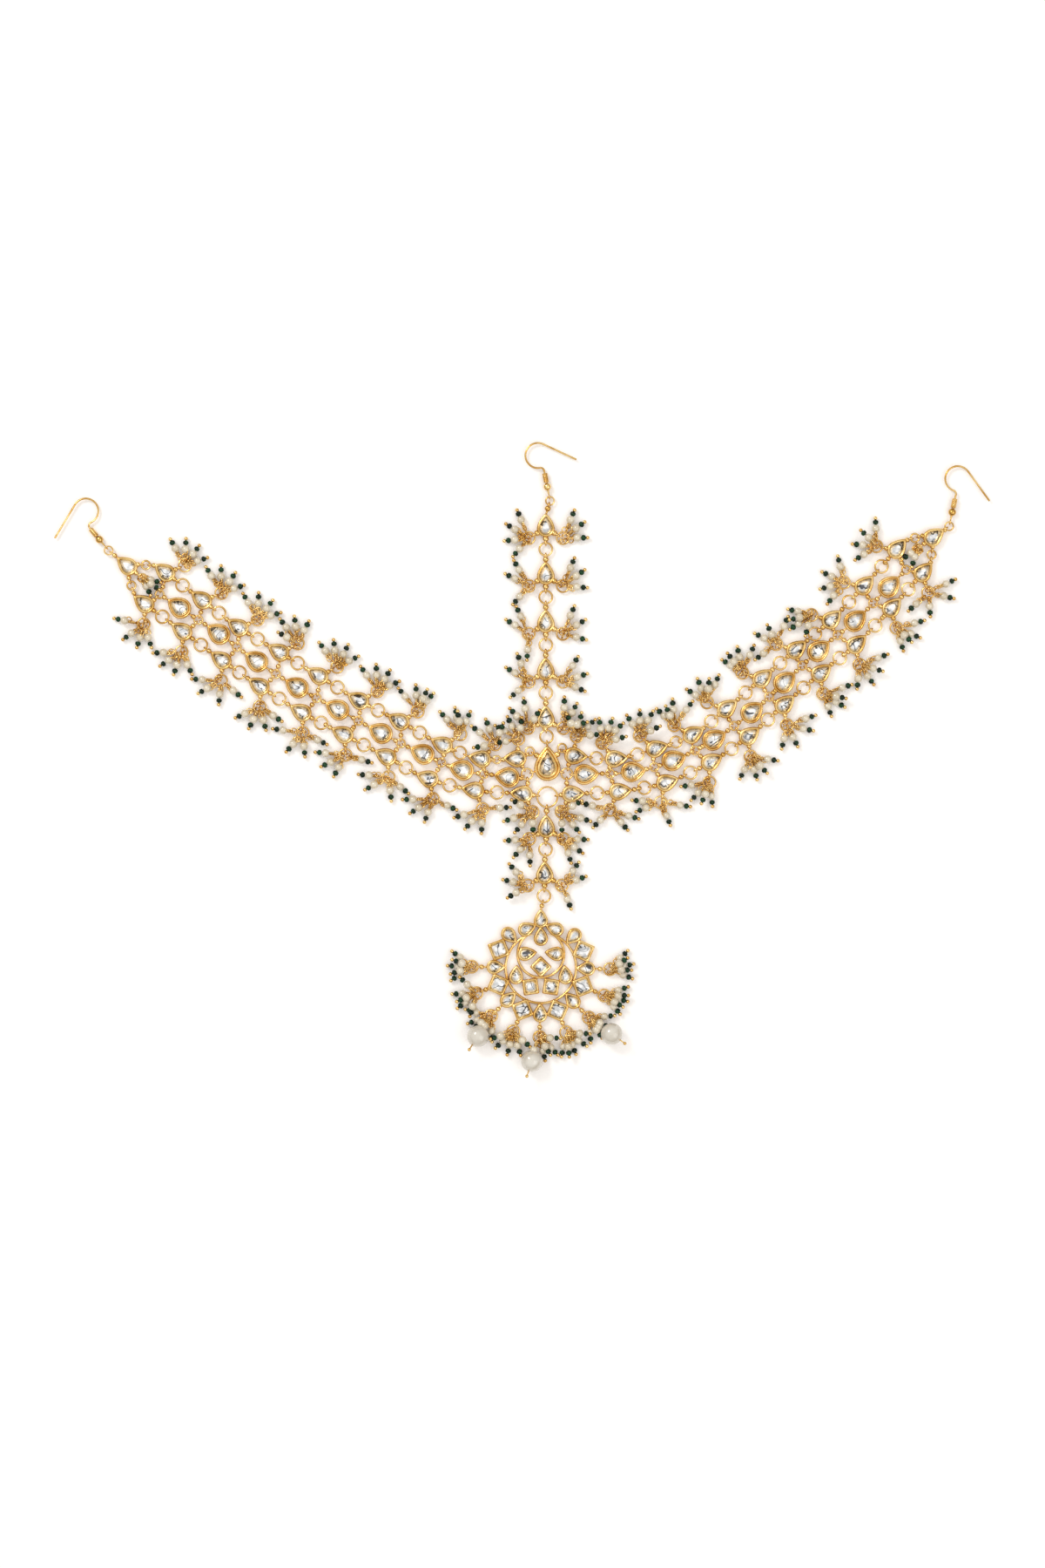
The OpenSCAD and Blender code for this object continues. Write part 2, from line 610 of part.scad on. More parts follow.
module row_stones(row, s) {
    for (i = [0:len(row) - 1]) set_stone(row[i], row_heading(row, i), s);
}
module arm_stones(upper, middle, lower) {
    row_stones(upper, SMALL);
    row_stones(middle, ROW);
    row_stones(lower, SMALL);
}
module middle_links() {
    color(gold) {
        for (p = [LEFT_GATHER, RIGHT_GATHER]) link(p, gather_r);
        for (p = [LEFT_SHOULDER, RIGHT_SHOULDER]) link(p, knot_r);
    }
}
module parting_clusters() {
    chain_clusters(PARTING, 1, PARTING_LEFT_FANS, -parting_swing);
    chain_clusters(PARTING, -1, PARTING_RIGHT_FANS, parting_swing);
    chain_clusters(LOWER, 1, LOWER_LEFT_FANS);
    chain_clusters(LOWER, -1, LOWER_RIGHT_FANS);
}

translate(frame_shift) {
    hook(LEFT_HOOK);  // left_hook
    hook_coil(LEFT_HOOK);  // left_hook_coil
    hook_bead(LEFT_HOOK);  // left_hook_bead
    hook_link(LEFT_HOOK);  // left_hook_link
    hook(TOP_HOOK);  // top_hook
    hook_coil(TOP_HOOK);  // top_hook_coil
    hook_bead(TOP_HOOK);  // top_hook_bead
    hook_link(TOP_HOOK);  // top_hook_link
    hook(RIGHT_HOOK);  // right_hook
    hook_coil(RIGHT_HOOK);  // right_hook_coil
    hook_bead(RIGHT_HOOK);  // right_hook_bead
    hook_link(RIGHT_HOOK);  // right_hook_link
    end_setting(LEFT_END, LEFT_HOOK, LEFT_UPPER, LEFT_LOWER, -1);  // left_end_setting
    set_stone([LEFT_END[0], LEFT_END[1]], LEFT_END[2], SMALL);  // left_end_stone
    end_cluster(LEFT_END, LEFT_END_FAN);  // left_end_cluster
    end_setting(RIGHT_END, RIGHT_HOOK, RIGHT_UPPER, RIGHT_LOWER, 1);  // right_end_setting
    set_stone([RIGHT_END[0], RIGHT_END[1]], RIGHT_END[2], SMALL);  // right_end_stone
    end_cluster(RIGHT_END, RIGHT_END_FAN);  // right_end_cluster
    outer_row(LEFT_UPPER, LEFT_MIDDLE, 1, LEFT_UPPER_ENDS);  // left_upper_row
    middle_row(LEFT_MIDDLE, LEFT_GATHER);  // left_middle_row
    outer_row(LEFT_LOWER, LEFT_MIDDLE, -1, LEFT_LOWER_ENDS);  // left_lower_row
    outer_row(RIGHT_UPPER, RIGHT_MIDDLE, -1, RIGHT_UPPER_ENDS);  // right_upper_row
    middle_row(RIGHT_MIDDLE, RIGHT_GATHER);  // right_middle_row
    outer_row(RIGHT_LOWER, RIGHT_MIDDLE, 1, RIGHT_LOWER_ENDS);  // right_lower_row
    arm_stones(LEFT_UPPER, LEFT_MIDDLE, LEFT_LOWER);  // left_arm_stones
    arm_stones(RIGHT_UPPER, RIGHT_MIDDLE, RIGHT_LOWER);  // right_arm_stones
    row_clusters(LEFT_UPPER, 1, LEFT_UPPER_FANS, left_swing);  // left_upper_clusters
    row_clusters(LEFT_LOWER, -1, LEFT_LOWER_FANS);  // left_lower_clusters
    row_clusters(RIGHT_UPPER, -1, RIGHT_UPPER_FANS, right_swing);  // right_upper_clusters
    row_clusters(RIGHT_LOWER, 1, RIGHT_LOWER_FANS);  // right_lower_clusters
    parting_setting(0);  // parting_setting_1
    parting_setting(1);  // parting_setting_2
    parting_setting(2);  // parting_setting_3
    parting_setting(3);  // parting_setting_4
    parting_setting(4);  // parting_setting_5
    set_stone(PARTING[0], 90, SMALL);  // parting_stone_1
    set_stone(PARTING[1], 90, SMALL);  // parting_stone_2
    set_stone(PARTING[2], 90, SMALL);  // parting_stone_3
    set_stone(PARTING[3], 90, SMALL);  // parting_stone_4
    set_stone(PARTING[4], 90, SMALL);  // parting_stone_5
    chain_setting(LOWER[0], RING, ring_r, lower_link);  // lower_setting_1
    chain_setting(LOWER[1], lower_link, link_r, PENDANT_LINK);  // lower_setting_2
    set_stone(LOWER[0], 90, SMALL);  // lower_stone_1
    set_stone(LOWER[1], 90, SMALL);  // lower_stone_2
    middle_setting();
    color(glass) place(MIDDLE, 90, LARGE)  // middle_stone
        stone(pear_points(LARGE, LARGE[2] + gap), 1, LARGE[3] + 0.6);
    color(gold) link(RING, ring_r);  // middle_ring
    middle_links();
    parting_clusters();
    pendant_plate();
    pendant_stones();
    pendant_clusters();
    large_pearl(LEFT_PEARL);  // left_pearl
    large_pearl(MIDDLE_PEARL);  // middle_pearl
    large_pearl(RIGHT_PEARL);  // right_pearl
    pearl_pin(LEFT_PEARL);  // left_pearl_pin
    pearl_pin(MIDDLE_PEARL);  // middle_pearl_pin
    pearl_pin(RIGHT_PEARL);  // right_pearl_pin
}
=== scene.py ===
"""Dresses the matha patti: gold rims, foil-backed stones, pearl clusters on wound wire, and the studio.

Everything is worked out in millimetres in the jewel's own frame and scaled to metres when a mesh is made.
"""

from __future__ import annotations

import json
import logging
import math
from dataclasses import dataclass, field
from enum import Enum

import bmesh
import bpy
import numpy as np
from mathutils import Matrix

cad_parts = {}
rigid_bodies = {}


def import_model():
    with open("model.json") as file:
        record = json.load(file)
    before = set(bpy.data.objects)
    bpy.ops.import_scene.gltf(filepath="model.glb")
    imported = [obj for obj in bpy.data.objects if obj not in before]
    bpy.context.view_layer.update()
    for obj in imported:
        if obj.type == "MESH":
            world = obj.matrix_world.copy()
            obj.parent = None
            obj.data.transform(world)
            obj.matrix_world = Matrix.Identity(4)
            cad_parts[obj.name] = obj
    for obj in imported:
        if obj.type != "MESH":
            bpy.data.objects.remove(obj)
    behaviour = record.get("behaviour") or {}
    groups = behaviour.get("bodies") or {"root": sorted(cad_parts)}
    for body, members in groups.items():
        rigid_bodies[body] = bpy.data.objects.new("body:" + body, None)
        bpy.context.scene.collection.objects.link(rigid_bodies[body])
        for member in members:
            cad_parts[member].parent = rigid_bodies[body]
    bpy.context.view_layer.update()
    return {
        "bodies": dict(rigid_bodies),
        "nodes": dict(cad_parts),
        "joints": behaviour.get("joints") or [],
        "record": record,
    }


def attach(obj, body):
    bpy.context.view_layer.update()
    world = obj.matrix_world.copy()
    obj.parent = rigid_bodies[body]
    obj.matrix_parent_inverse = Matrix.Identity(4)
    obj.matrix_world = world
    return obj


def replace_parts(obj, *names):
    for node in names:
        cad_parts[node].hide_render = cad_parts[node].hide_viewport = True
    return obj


LOG = logging.getLogger("matha_patti")
Array = np.ndarray
Shape = tuple[Array, Array]
Colour = tuple[float, float, float, float]
Triple = tuple[float, float, float]
Pair = tuple[float, float]
Material = bpy.types.Material
Object = bpy.types.Object

MM = 0.001
TAU = 2 * math.pi
BODY = "root"


class Slot(Enum):
    """The record's material slots: gold, pearl and seed."""

    GOLD = "gold"
    PEARL = "pearl"
    SEED = "seed"


# Shader nodes


class Value:
    """A socket that reads as a number in a Python expression, and adds the Math nodes it needs."""

    def __init__(self, nodes: Nodes, socket: bpy.types.NodeSocket) -> None:
        """Wraps a socket of a node tree."""
        self.nodes = nodes
        self.socket = socket

    def math(self, operation: str, *others: Value | float) -> Value:
        """The result of a Math node with that operation and those further operands."""
        return self.nodes.add("ShaderNodeMath", dict(enumerate((self, *others))), operation=operation)

    def __add__(self, other: Value | float) -> Value:
        """Sum."""
        return self.math("ADD", other)

    def __sub__(self, other: Value | float) -> Value:
        """Difference."""
        return self.math("SUBTRACT", other)

    def __rsub__(self, other: float) -> Value:
        """Difference from a number."""
        return self.math("MULTIPLY", -1.0) + other

    def __mul__(self, other: Value | float) -> Value:
        """Product."""
        return self.math("MULTIPLY", other)

    __radd__ = __add__
    __rmul__ = __mul__

    def span(self, low: float, high: float) -> Value:
        """A smooth step from 0 at low to 1 at high."""
        values = {"Value": self, "From Min": low, "From Max": high}
        return self.nodes.add("ShaderNodeMapRange", values, interpolation_type="SMOOTHSTEP")


class Nodes:
    """A node tree whose nodes all come from one method."""

    def __init__(self, tree: bpy.types.NodeTree) -> None:
        """Takes the tree."""
        self.tree = tree

    def add(
        self, kind: str, values: dict | None = None, out: int | str = 0, stops: tuple = (), **settings: object
    ) -> Value:
        """Adds a node.

        Args:
            kind: the node's type.
            values: numbers, colours or values for its inputs, by name or place.
            out: the output that is returned.
            stops: places and colours of a ramp's two stops.
            settings: the node's own settings, which are set first.
        Returns:
            That output.
        """
        node = self.tree.nodes.new(kind)
        for key, setting in settings.items():
            setattr(node, key, setting)
        for k, (position, colour) in enumerate(stops):
            node.color_ramp.elements[k].position = position
            node.color_ramp.elements[k].color = colour
        for key, value in (values or {}).items():
            self.feed(node.inputs[key], value)
        return Value(self, node.outputs[out])

    def feed(self, socket: bpy.types.NodeSocket, value: object) -> None:
        """Links a value to a socket, or sets the socket to a number or colour.

        Args:
            socket: the input.
            value: a Value, or what its default becomes.
        """
        if isinstance(value, Value):
            self.tree.links.new(value.socket, socket)
        else:
            socket.default_value = value


class Shader(Nodes):
    """One material's node tree with a Principled BSDF."""

    def __init__(self, name: str) -> None:
        """Starts a material.

        Args:
            name: its name.
        """
        self.material = bpy.data.materials.new(name)
        self.material.use_nodes = True
        super().__init__(self.material.node_tree)
        self.bsdf = self.tree.nodes["Principled BSDF"]

    def place(self) -> Value:
        """The place on the jewel, in metres."""
        return self.add("ShaderNodeTexCoord", out="Object")

    def noise(self, scale: float, detail: float = 2.0, distortion: float = 0.0) -> Value:
        """Noise from 0 to 1 with features of about 1/scale metres."""
        values = {"Vector": self.place(), "Scale": scale, "Detail": detail, "Distortion": distortion}
        return self.add("ShaderNodeTexNoise", values)

    def blend(self, factor: Value, low: Value | Colour, high: Value | Colour) -> Value:
        """A colour between two colours."""
        return self.add("ShaderNodeMix", {0: factor, 6: low, 7: high}, out=2, data_type="RGBA")

    def bump(self, height: Value, distance: float, strength: float) -> None:
        """Feeds a height, which rises by a distance in metres, to the shader's normal."""
        values = {"Height": height, "Distance": distance, "Strength": strength}
        self.feed(self.bsdf.inputs["Normal"], self.add("ShaderNodeBump", values))

    def set(self, **values: object) -> None:
        """Sets or links the shader's inputs, named with underscores for spaces."""
        for key, value in values.items():
            self.feed(self.bsdf.inputs[key.replace("_", " ")], value)


# Finishes


def rgb(red: float, green: float, blue: float) -> Colour:
    """An opaque linear colour."""
    return (red, green, blue, 1.0)


@dataclass(frozen=True)
class Finish:
    """A material whose nodes each kind of finish lays in its own way."""

    name: str

    def lay(self, shader: Shader) -> None:
        """Adds the finish's nodes to a shader."""
        raise NotImplementedError(self.name)

    def make(self) -> Material:
        """Makes the finish.

        Returns:
            Its material.
        """
        shader = Shader(self.name)
        self.lay(shader)
        return shader.material


@dataclass(frozen=True)
class Gold(Finish):
    """Polished gold plate, deeper in tone in soft random patches whose deep end is partly painted shade, with
    a faint grain.
    """

    name: str = "gold_plate"
    bright: Colour = rgb(0.93, 0.67, 0.29)
    # The deep tone is partly the gold's own random tone and partly painted shade, darkened to stand in for
    # the shade in the gold's crevices.
    deep_tone_and_shade: Colour = rgb(0.63, 0.36, 0.09)
    rough: float = 0.16
    patch_scale: float = 260.0
    grain_scale: float = 1100.0
    grain_height: float = 0.00003

    def lay(self, shader: Shader) -> None:
        """Drifts from deep, partly painted shade, to bright over random patches of noise, and roughens and
        bumps by the grain.

        Args:
            shader: the material's shader.
        """
        tone_and_shade_patches = shader.noise(self.patch_scale, 3.0)
        grain = shader.noise(self.grain_scale)
        shader.set(
            Base_Color=shader.blend(tone_and_shade_patches.span(0.3, 0.7), self.deep_tone_and_shade, self.bright),
            Roughness=self.rough + 0.06 * grain,
            Metallic=1.0,
        )
        shader.bump(grain, self.grain_height, 0.12)


@dataclass(frozen=True)
class FoilGlass(Finish):
    """Clear glass over silver foil: bright, with thin dark streaks where the foil is creased."""

    name: str = "foil_glass"
    silver: Colour = rgb(0.98, 0.98, 0.97)
    grey: Colour = rgb(0.6, 0.61, 0.62)
    dark: Colour = rgb(0.07, 0.07, 0.08)
    rough: float = 0.2
    metallic: float = 0.55
    fold_scale: float = 230.0
    fold_height: float = 0.0003
    cloud_scale: float = 520.0
    crease: Pair = (0.034, 0.01)

    def lay(self, shader: Shader) -> None:
        """Draws a crease where the noise of the folds is near its middle, and clouds between creases.

        Args:
            shader: the material's shader.
        """
        folds = shader.noise(self.fold_scale, 1.5, 0.9)
        streak = (folds - 0.5).math("ABSOLUTE").span(*self.crease)
        cloud = shader.noise(self.cloud_scale, 1.0).span(0.35, 0.62)
        foil = shader.blend(cloud, self.grey, self.silver)
        shader.set(
            Base_Color=shader.blend(streak, foil, self.dark),
            Roughness=self.rough - 0.08 * cloud,
            Metallic=self.metallic,
            Coat_Weight=1.0,
            Coat_Roughness=0.03,
        )
        shader.bump(folds, self.fold_height, 0.4)


@dataclass(frozen=True)
class Nacre(Finish):
    """Cream pearl lustre under a clear coat, with a faint drift of tone from pearl to pearl."""

    body: Colour
    shade: Colour
    rough: float = 0.24
    tone_scale: float = 240.0
    coat_ior: float = 1.65

    def lay(self, shader: Shader) -> None:
        """Drifts from shade to body over a noise as wide as a pearl.

        Args:
            shader: the material's shader.
        """
        tone = shader.noise(self.tone_scale, 1.0, 0.3)
        shader.set(
            Base_Color=shader.blend(tone.span(0.3, 0.7), self.shade, self.body),
            Roughness=self.rough + 0.08 * tone,
            Coat_Weight=1.0,
            Coat_Roughness=0.06,
            Coat_IOR=self.coat_ior,
        )


@dataclass(frozen=True)
class DarkGlass(Finish):
    """Near-black green glass of the seed beads."""

    name: str = "seed_glass"
    black: Colour = rgb(0.003, 0.012, 0.005)
    green: Colour = rgb(0.008, 0.05, 0.017)
    rough: float = 0.16
    specular: float = 0.22
    tone_scale: float = 420.0
    tone_height: float = 0.00005

    def lay(self, shader: Shader) -> None:
        """Drifts from black to green and roughens and bumps the glass by one noise.

        Args:
            shader: the material's shader.
        """
        tone = shader.noise(self.tone_scale)
        shader.set(
            Base_Color=shader.blend(tone.span(0.4, 0.62), self.black, self.green),
            Roughness=self.rough + 0.1 * tone,
            Specular_IOR_Level=self.specular,
        )
        shader.bump(tone, self.tone_height, 0.2)


@dataclass(frozen=True)
class TableWhite(Finish):
    """The table's warm matt white, with a faint painted glow, though it is no lamp, that lifts and warms the
    shadows on it.
    """

    name: str = "table_white"
    low: Colour = rgb(0.93, 0.91, 0.895)
    high: Colour = rgb(0.95, 0.93, 0.915)
    # Painted glow: the table gives off a little light that lifts and warms the shadows round the jewel.
    painted_glow: Colour = rgb(1.0, 0.91, 0.86)
    painted_glow_strength: float = 0.09
    rough: float = 0.6
    tone_scale: float = 9.0

    def lay(self, shader: Shader) -> None:
        """Drifts between two whites over a wide noise, and adds the painted glow that lifts the shadows.

        Args:
            shader: the material's shader.
        """
        tone = shader.noise(self.tone_scale)
        shader.set(
            Base_Color=shader.blend(tone, self.low, self.high),
            Roughness=self.rough + 0.1 * tone,
            Emission_Color=self.painted_glow,
            Emission_Strength=self.painted_glow_strength,
        )


@dataclass(frozen=True)
class Finishes:
    """The jewel's materials."""

    gold: Material
    glass: Material
    small_pearl: Material
    large_pearl: Material
    seed: Material


# Surfaces


def linked(name: str, data: bpy.types.ID) -> Object:
    """Puts an object into the scene.

    Args:
        name: its name.
        data: its mesh, light or camera.
    Returns:
        The object.
    """
    made = bpy.data.objects.new(name, data)
    bpy.context.scene.collection.objects.link(made)
    return made


def unit(vectors: Array) -> Array:
    """The vectors brought to length 1."""
    return vectors / np.linalg.norm(vectors, axis=1, keepdims=True)


@dataclass
class Skin:
    """Points and faces gathered for one piece, with faces as rows of four corners or three."""

    points: list[Array] = field(default_factory=list)
    quads: list[Array] = field(default_factory=list)
    count: int = 0

    def add(self, points: Array, quads: Array) -> None:
        """Adds points and faces.

        Args:
            points: points, of shape (..., 3).
            quads: (n, 4) corners, which number those points from 0. A triangle repeats its last corner.
        """
        flat = points.reshape(-1, 3)
        self.points.append(flat)
        self.quads.append(quads + self.count)
        self.count += len(flat)

    def piece(self, name: str, finish: Material) -> Object:
        """Makes the mesh object, smooth and with its faces outwards, riding on the jewel.

        Args:
            name: the piece's name.
            finish: its material.
        Returns:
            The object.
        """
        quads = np.concatenate(self.quads)
        triangle = quads[:, 3] == quads[:, 2]
        faces = quads[~triangle].tolist() + quads[triangle][:, :3].tolist()
        mesh = bpy.data.meshes.new(name)
        mesh.from_pydata((np.concatenate(self.points) * MM).tolist(), [], faces)
        work = bmesh.new()
        work.from_mesh(mesh)
        bmesh.ops.recalc_face_normals(work, faces=work.faces)
        work.to_mesh(mesh)
        work.free()
        mesh.polygons.foreach_set("use_smooth", np.ones(len(faces), bool))
        mesh.materials.append(finish)
        made = linked(name, mesh)
        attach(made, BODY)
        LOG.info("%s: %d faces", name, len(faces))
        return made


def sheet(rows: int, columns: int, closed: bool) -> Array:
    """Faces of a grid of points: each joins a point, its neighbour in the row and the two in the next row.

    Args:
        rows: rows of the grid.
        columns: points in a row, the last of which joins the first.
        closed: whether the last row joins the first.
    Returns:
        (n, 4) corner numbers.
    """
    i = np.arange(rows if closed else rows - 1)[:, None]
    j = np.arange(columns)[None]
    near, far = i * columns, (i + 1) % rows * columns
    k = (j + 1) % columns
    return np.stack(np.broadcast_arrays(near + j, near + k, far + k, far + j), -1).reshape(-1, 4)


def capped(grid: Array, ends: Array) -> Shape:
    """Closes a grid of points: each row is a ring, and triangles join the first and last row to end points.

    Args:
        grid: (rows, columns, 3) points.
        ends: (2, 3) end points.
    Returns:
        Points and faces. A triangle repeats its last corner.
    """
    rows, columns = grid.shape[:2]
    first = np.full(columns, rows * columns)
    j = np.arange(columns)
    k = (j + 1) % columns
    last = (rows - 1) * columns
    fans = [np.stack([k, j, first, first], -1), np.stack([last + j, last + k, first + 1, first + 1], -1)]
    points = np.concatenate([grid.reshape(-1, 3), ends])
    return points, np.concatenate([sheet(rows, columns, False), *fans])


def lathe(along: Array, radius: Array, sides: int) -> Shape:
    """A closed solid of revolution about X: each place along X with its radius, turned round X.

    Args:
        along: places along X, the first and last being poles.
        radius: radii there; those of the poles are 0.
        sides: points round the axis.
    Returns:
        Points and faces.
    """
    turn = np.arange(sides) * TAU / sides
    circle = np.stack([np.zeros(sides), np.cos(turn), np.sin(turn)], -1)
    body = circle[None] * radius[1:-1, None, None] + np.array([1.0, 0, 0]) * along[1:-1, None, None]
    return capped(body, np.array([[along[0], 0, 0], [along[-1], 0, 0]]))


@dataclass(frozen=True)
class Ball:
    """A ball in millimetres."""

    radius: float
    rings: int
    sides: int

    def shape(self) -> Shape:
        """The lathe of a half circle."""
        turn = np.linspace(0, math.pi, self.rings)
        return lathe(-self.radius * np.cos(turn), self.radius * np.sin(turn), self.sides)


@dataclass(frozen=True)
class Bead:
    """A drilled bead about X in millimetres. A bulge of power 1 is round, and one of less is a barrel."""

    radius: float
    half_length: float
    hole_r: float
    sides: int
    steps: int
    bulge: float = 1.0

    def shape(self) -> Shape:
        """Turns a closed profile of an outer bulge and a straight hole round the axis.

        Along the bulge, from one mouth of the hole to the other, the radius goes with the bulge's power of a
        sine, and the place along X with the cosine.

        Returns:
            Points and faces.
        """
        first = math.asin((self.hole_r / self.radius) ** (1 / self.bulge))
        turn = np.linspace(first, math.pi - first, self.steps)[:, None]
        along = -self.half_length * np.cos(turn)
        out = self.radius * np.sin(turn) ** self.bulge
        around = np.arange(self.sides) * TAU / self.sides
        points = np.stack(np.broadcast_arrays(along, out * np.cos(around), out * np.sin(around)), -1)
        return points.reshape(-1, 3), sheet(self.steps, self.sides, True)


@dataclass(frozen=True)
class Loop:
    """A ring of wire about Z in millimetres: its radius at the middle of the wire, and the wire's radius."""

    radius: float
    wire: float
    steps: int = 14
    sides: int = 6

    def shape(self) -> Shape:
        """Carries a circle of the wire's radius round the ring.

        Returns:
            Points and faces.
        """
        a = (np.arange(self.steps) * TAU / self.steps)[:, None]
        b = (np.arange(self.sides) * TAU / self.sides)[None]
        reach = self.radius + self.wire * np.cos(b)
        height = self.wire * np.sin(b)
        points = np.stack(np.broadcast_arrays(reach * np.cos(a), reach * np.sin(a), height), -1)
        return points.reshape(-1, 3), sheet(self.steps, self.sides, True)


STEEP = 0.95
ROD_SIDES = 6


def tube(path: Array, wire: float, sides: int) -> Shape:
    """Wire along a path: at each point a circle across the path, in a frame kept level where it isn't steep.

    Args:
        path: (n, 3) points.
        wire: the wire's radius.
        sides: points round the wire.
    Returns:
        Points and faces, with each end capped round its middle.
    """
    along = unit(np.gradient(path, axis=0))
    up = np.where(np.abs(along[:, 2:]) > STEEP, [[1.0, 0.0, 0.0]], [[0.0, 0.0, 1.0]])
    side = unit(np.cross(up, along))
    rise = np.cross(along, side)
    turn = (np.arange(sides) * TAU / sides)[:, None]
    across = side[:, None] * np.cos(turn) + rise[:, None] * np.sin(turn)
    return capped(path[:, None] + across * wire, path[[0, -1]])


@dataclass(frozen=True)
class Coil:
    """Fine wire wound round X in millimetres, which ends at the origin. Steps are the points of a turn."""

    length: float
    radius: float
    wire: float
    turns: float
    steps: int = 9
    sides: int = 5

    def shape(self) -> Shape:
        """Lays the wire along a helix.

        Returns:
            Points and faces.
        """
        t = np.linspace(0, 1, int(self.turns * self.steps))
        angle = TAU * self.turns * t
        path = np.stack([self.length * (t - 1), self.radius * np.cos(angle), self.radius * np.sin(angle)], -1)
        return tube(path, self.wire, self.sides)


# Copies


def level_frames(heading: Array, lift: Array | float = 0.0) -> Array:
    """Turning matrices whose X points along a heading, lifted off the level, and whose Y stays level.

    Args:
        heading: headings in radians.
        lift: angles above the level in radians, or one for all.
    Returns:
        (n, 3, 3) matrices.
    """
    heading, lift = np.broadcast_arrays(heading, lift)
    level = np.cos(lift)
    return along_frames(np.stack([level * np.cos(heading), level * np.sin(heading), np.sin(lift)], -1))


def along_frames(along: Array, roll: Array | float = 0.0) -> Array:
    """Turning matrices whose X points along unit vectors, rolled about them.

    Args:
        along: (n, 3) unit vectors.
        roll: angles in radians, or one for all.
    Returns:
        (n, 3, 3) matrices.
    """
    side = unit(np.cross([0.0, 0.0, 1.0], along))
    rise = np.cross(along, side)
    c, s = np.cos(roll)[..., None], np.sin(roll)[..., None]
    return np.stack([along, side * c + rise * s, rise * c - side * s], -1)


def stamp(skin: Skin, shape: Shape, places: Array, frames: Array, sizes: Array | float = 1.0) -> None:
    """Repeats a shape: each copy is the shape's points times its size, turned by its frame, at its place.

    Args:
        skin: what the copies are added to.
        shape: points and faces.
        places: (n, 3) places.
        frames: (n, 3, 3) turning matrices.
        sizes: a factor for each copy, or one for all.
    """
    points, faces = shape
    scale = np.broadcast_to(sizes, (len(places),))
    copies = np.einsum("nij,pj->npi", frames, points) * scale[:, None, None] + places[:, None]
    corners = faces[None] + (np.arange(len(places)) * len(points))[:, None, None]
    skin.add(copies, corners.reshape(-1, 4))


def rods(skin: Skin, starts: Array, ends: Array, radius: float) -> None:
    """Adds straight wires: each is a lathe of unit length stretched from its start to its end.

    Args:
        skin: what the wires are added to.
        starts: (n, 3) places.
        ends: (n, 3) places.
        radius: the wires' radius.
    """
    rod = lathe(np.array([0.0, 0.0, 1.0, 1.0]), np.array([0.0, radius, radius, 0.0]), ROD_SIDES)
    run = ends - starts
    length = np.linalg.norm(run, axis=1)
    stretch = np.stack([length, np.ones_like(length), np.ones_like(length)], -1)
    stamp(skin, rod, starts, along_frames(unit(run)) * stretch[:, None])


# What the frame says

# Votes make a ball, by cells of a quarter of a millimetre. A sliver, by the square of twice its area, has no
# vote. Places in millimetres are one place when they are nearer than these distances.
VOTES = 250
CELLS = 4
SLIVER = 1e-8
BALLS_APART = 0.5
SAME_PLACE = 0.01


def mesh_arrays(node: Object) -> tuple[Array, Array]:
    """Reads a CAD node's mesh.

    Args:
        node: the CAD node.
    Returns:
        (n, 3) points in metres, and (m, 3) corner numbers of its triangles.
    """
    mesh = node.data
    points = np.empty(len(mesh.vertices) * 3, np.float32)
    mesh.vertices.foreach_get("co", points)
    mesh.calc_loop_triangles()
    corners = np.empty(len(mesh.loop_triangles) * 3, np.int32)
    mesh.loop_triangles.foreach_get("vertices", corners)
    return points.reshape(-1, 3), corners.reshape(-1, 3)


def triangles_of(node: Object) -> Array:
    """Corners of a CAD node's triangles in millimetres, (n, 3, 3)."""
    points, corners = mesh_arrays(node)
    return points[corners].astype(float) / MM


def loose_solids(node: Object) -> list[Array]:
    """Splits a CAD node into its loose solids.

    Points that coincide are one point, and every triangle lowers its corners' labels to their least until
    nothing changes, so each solid ends with one label.

    Args:
        node: the CAD node.
    Returns:
        (n, 3) points of each solid, in millimetres.
    """
    raw, corners = mesh_arrays(node)
    points, same = np.unique(np.round(raw / MM, 3), axis=0, return_inverse=True)
    triangles = same.reshape(-1)[corners]
    labels = np.arange(len(points))
    settled = False
    while not settled:
        least = labels.copy()
        np.minimum.at(least, triangles, labels[triangles].min(1, keepdims=True).repeat(3, 1))
        least = least[least]
        settled = np.array_equal(least, labels)
        labels = least
    return [points[labels == label] for label in np.unique(labels)]


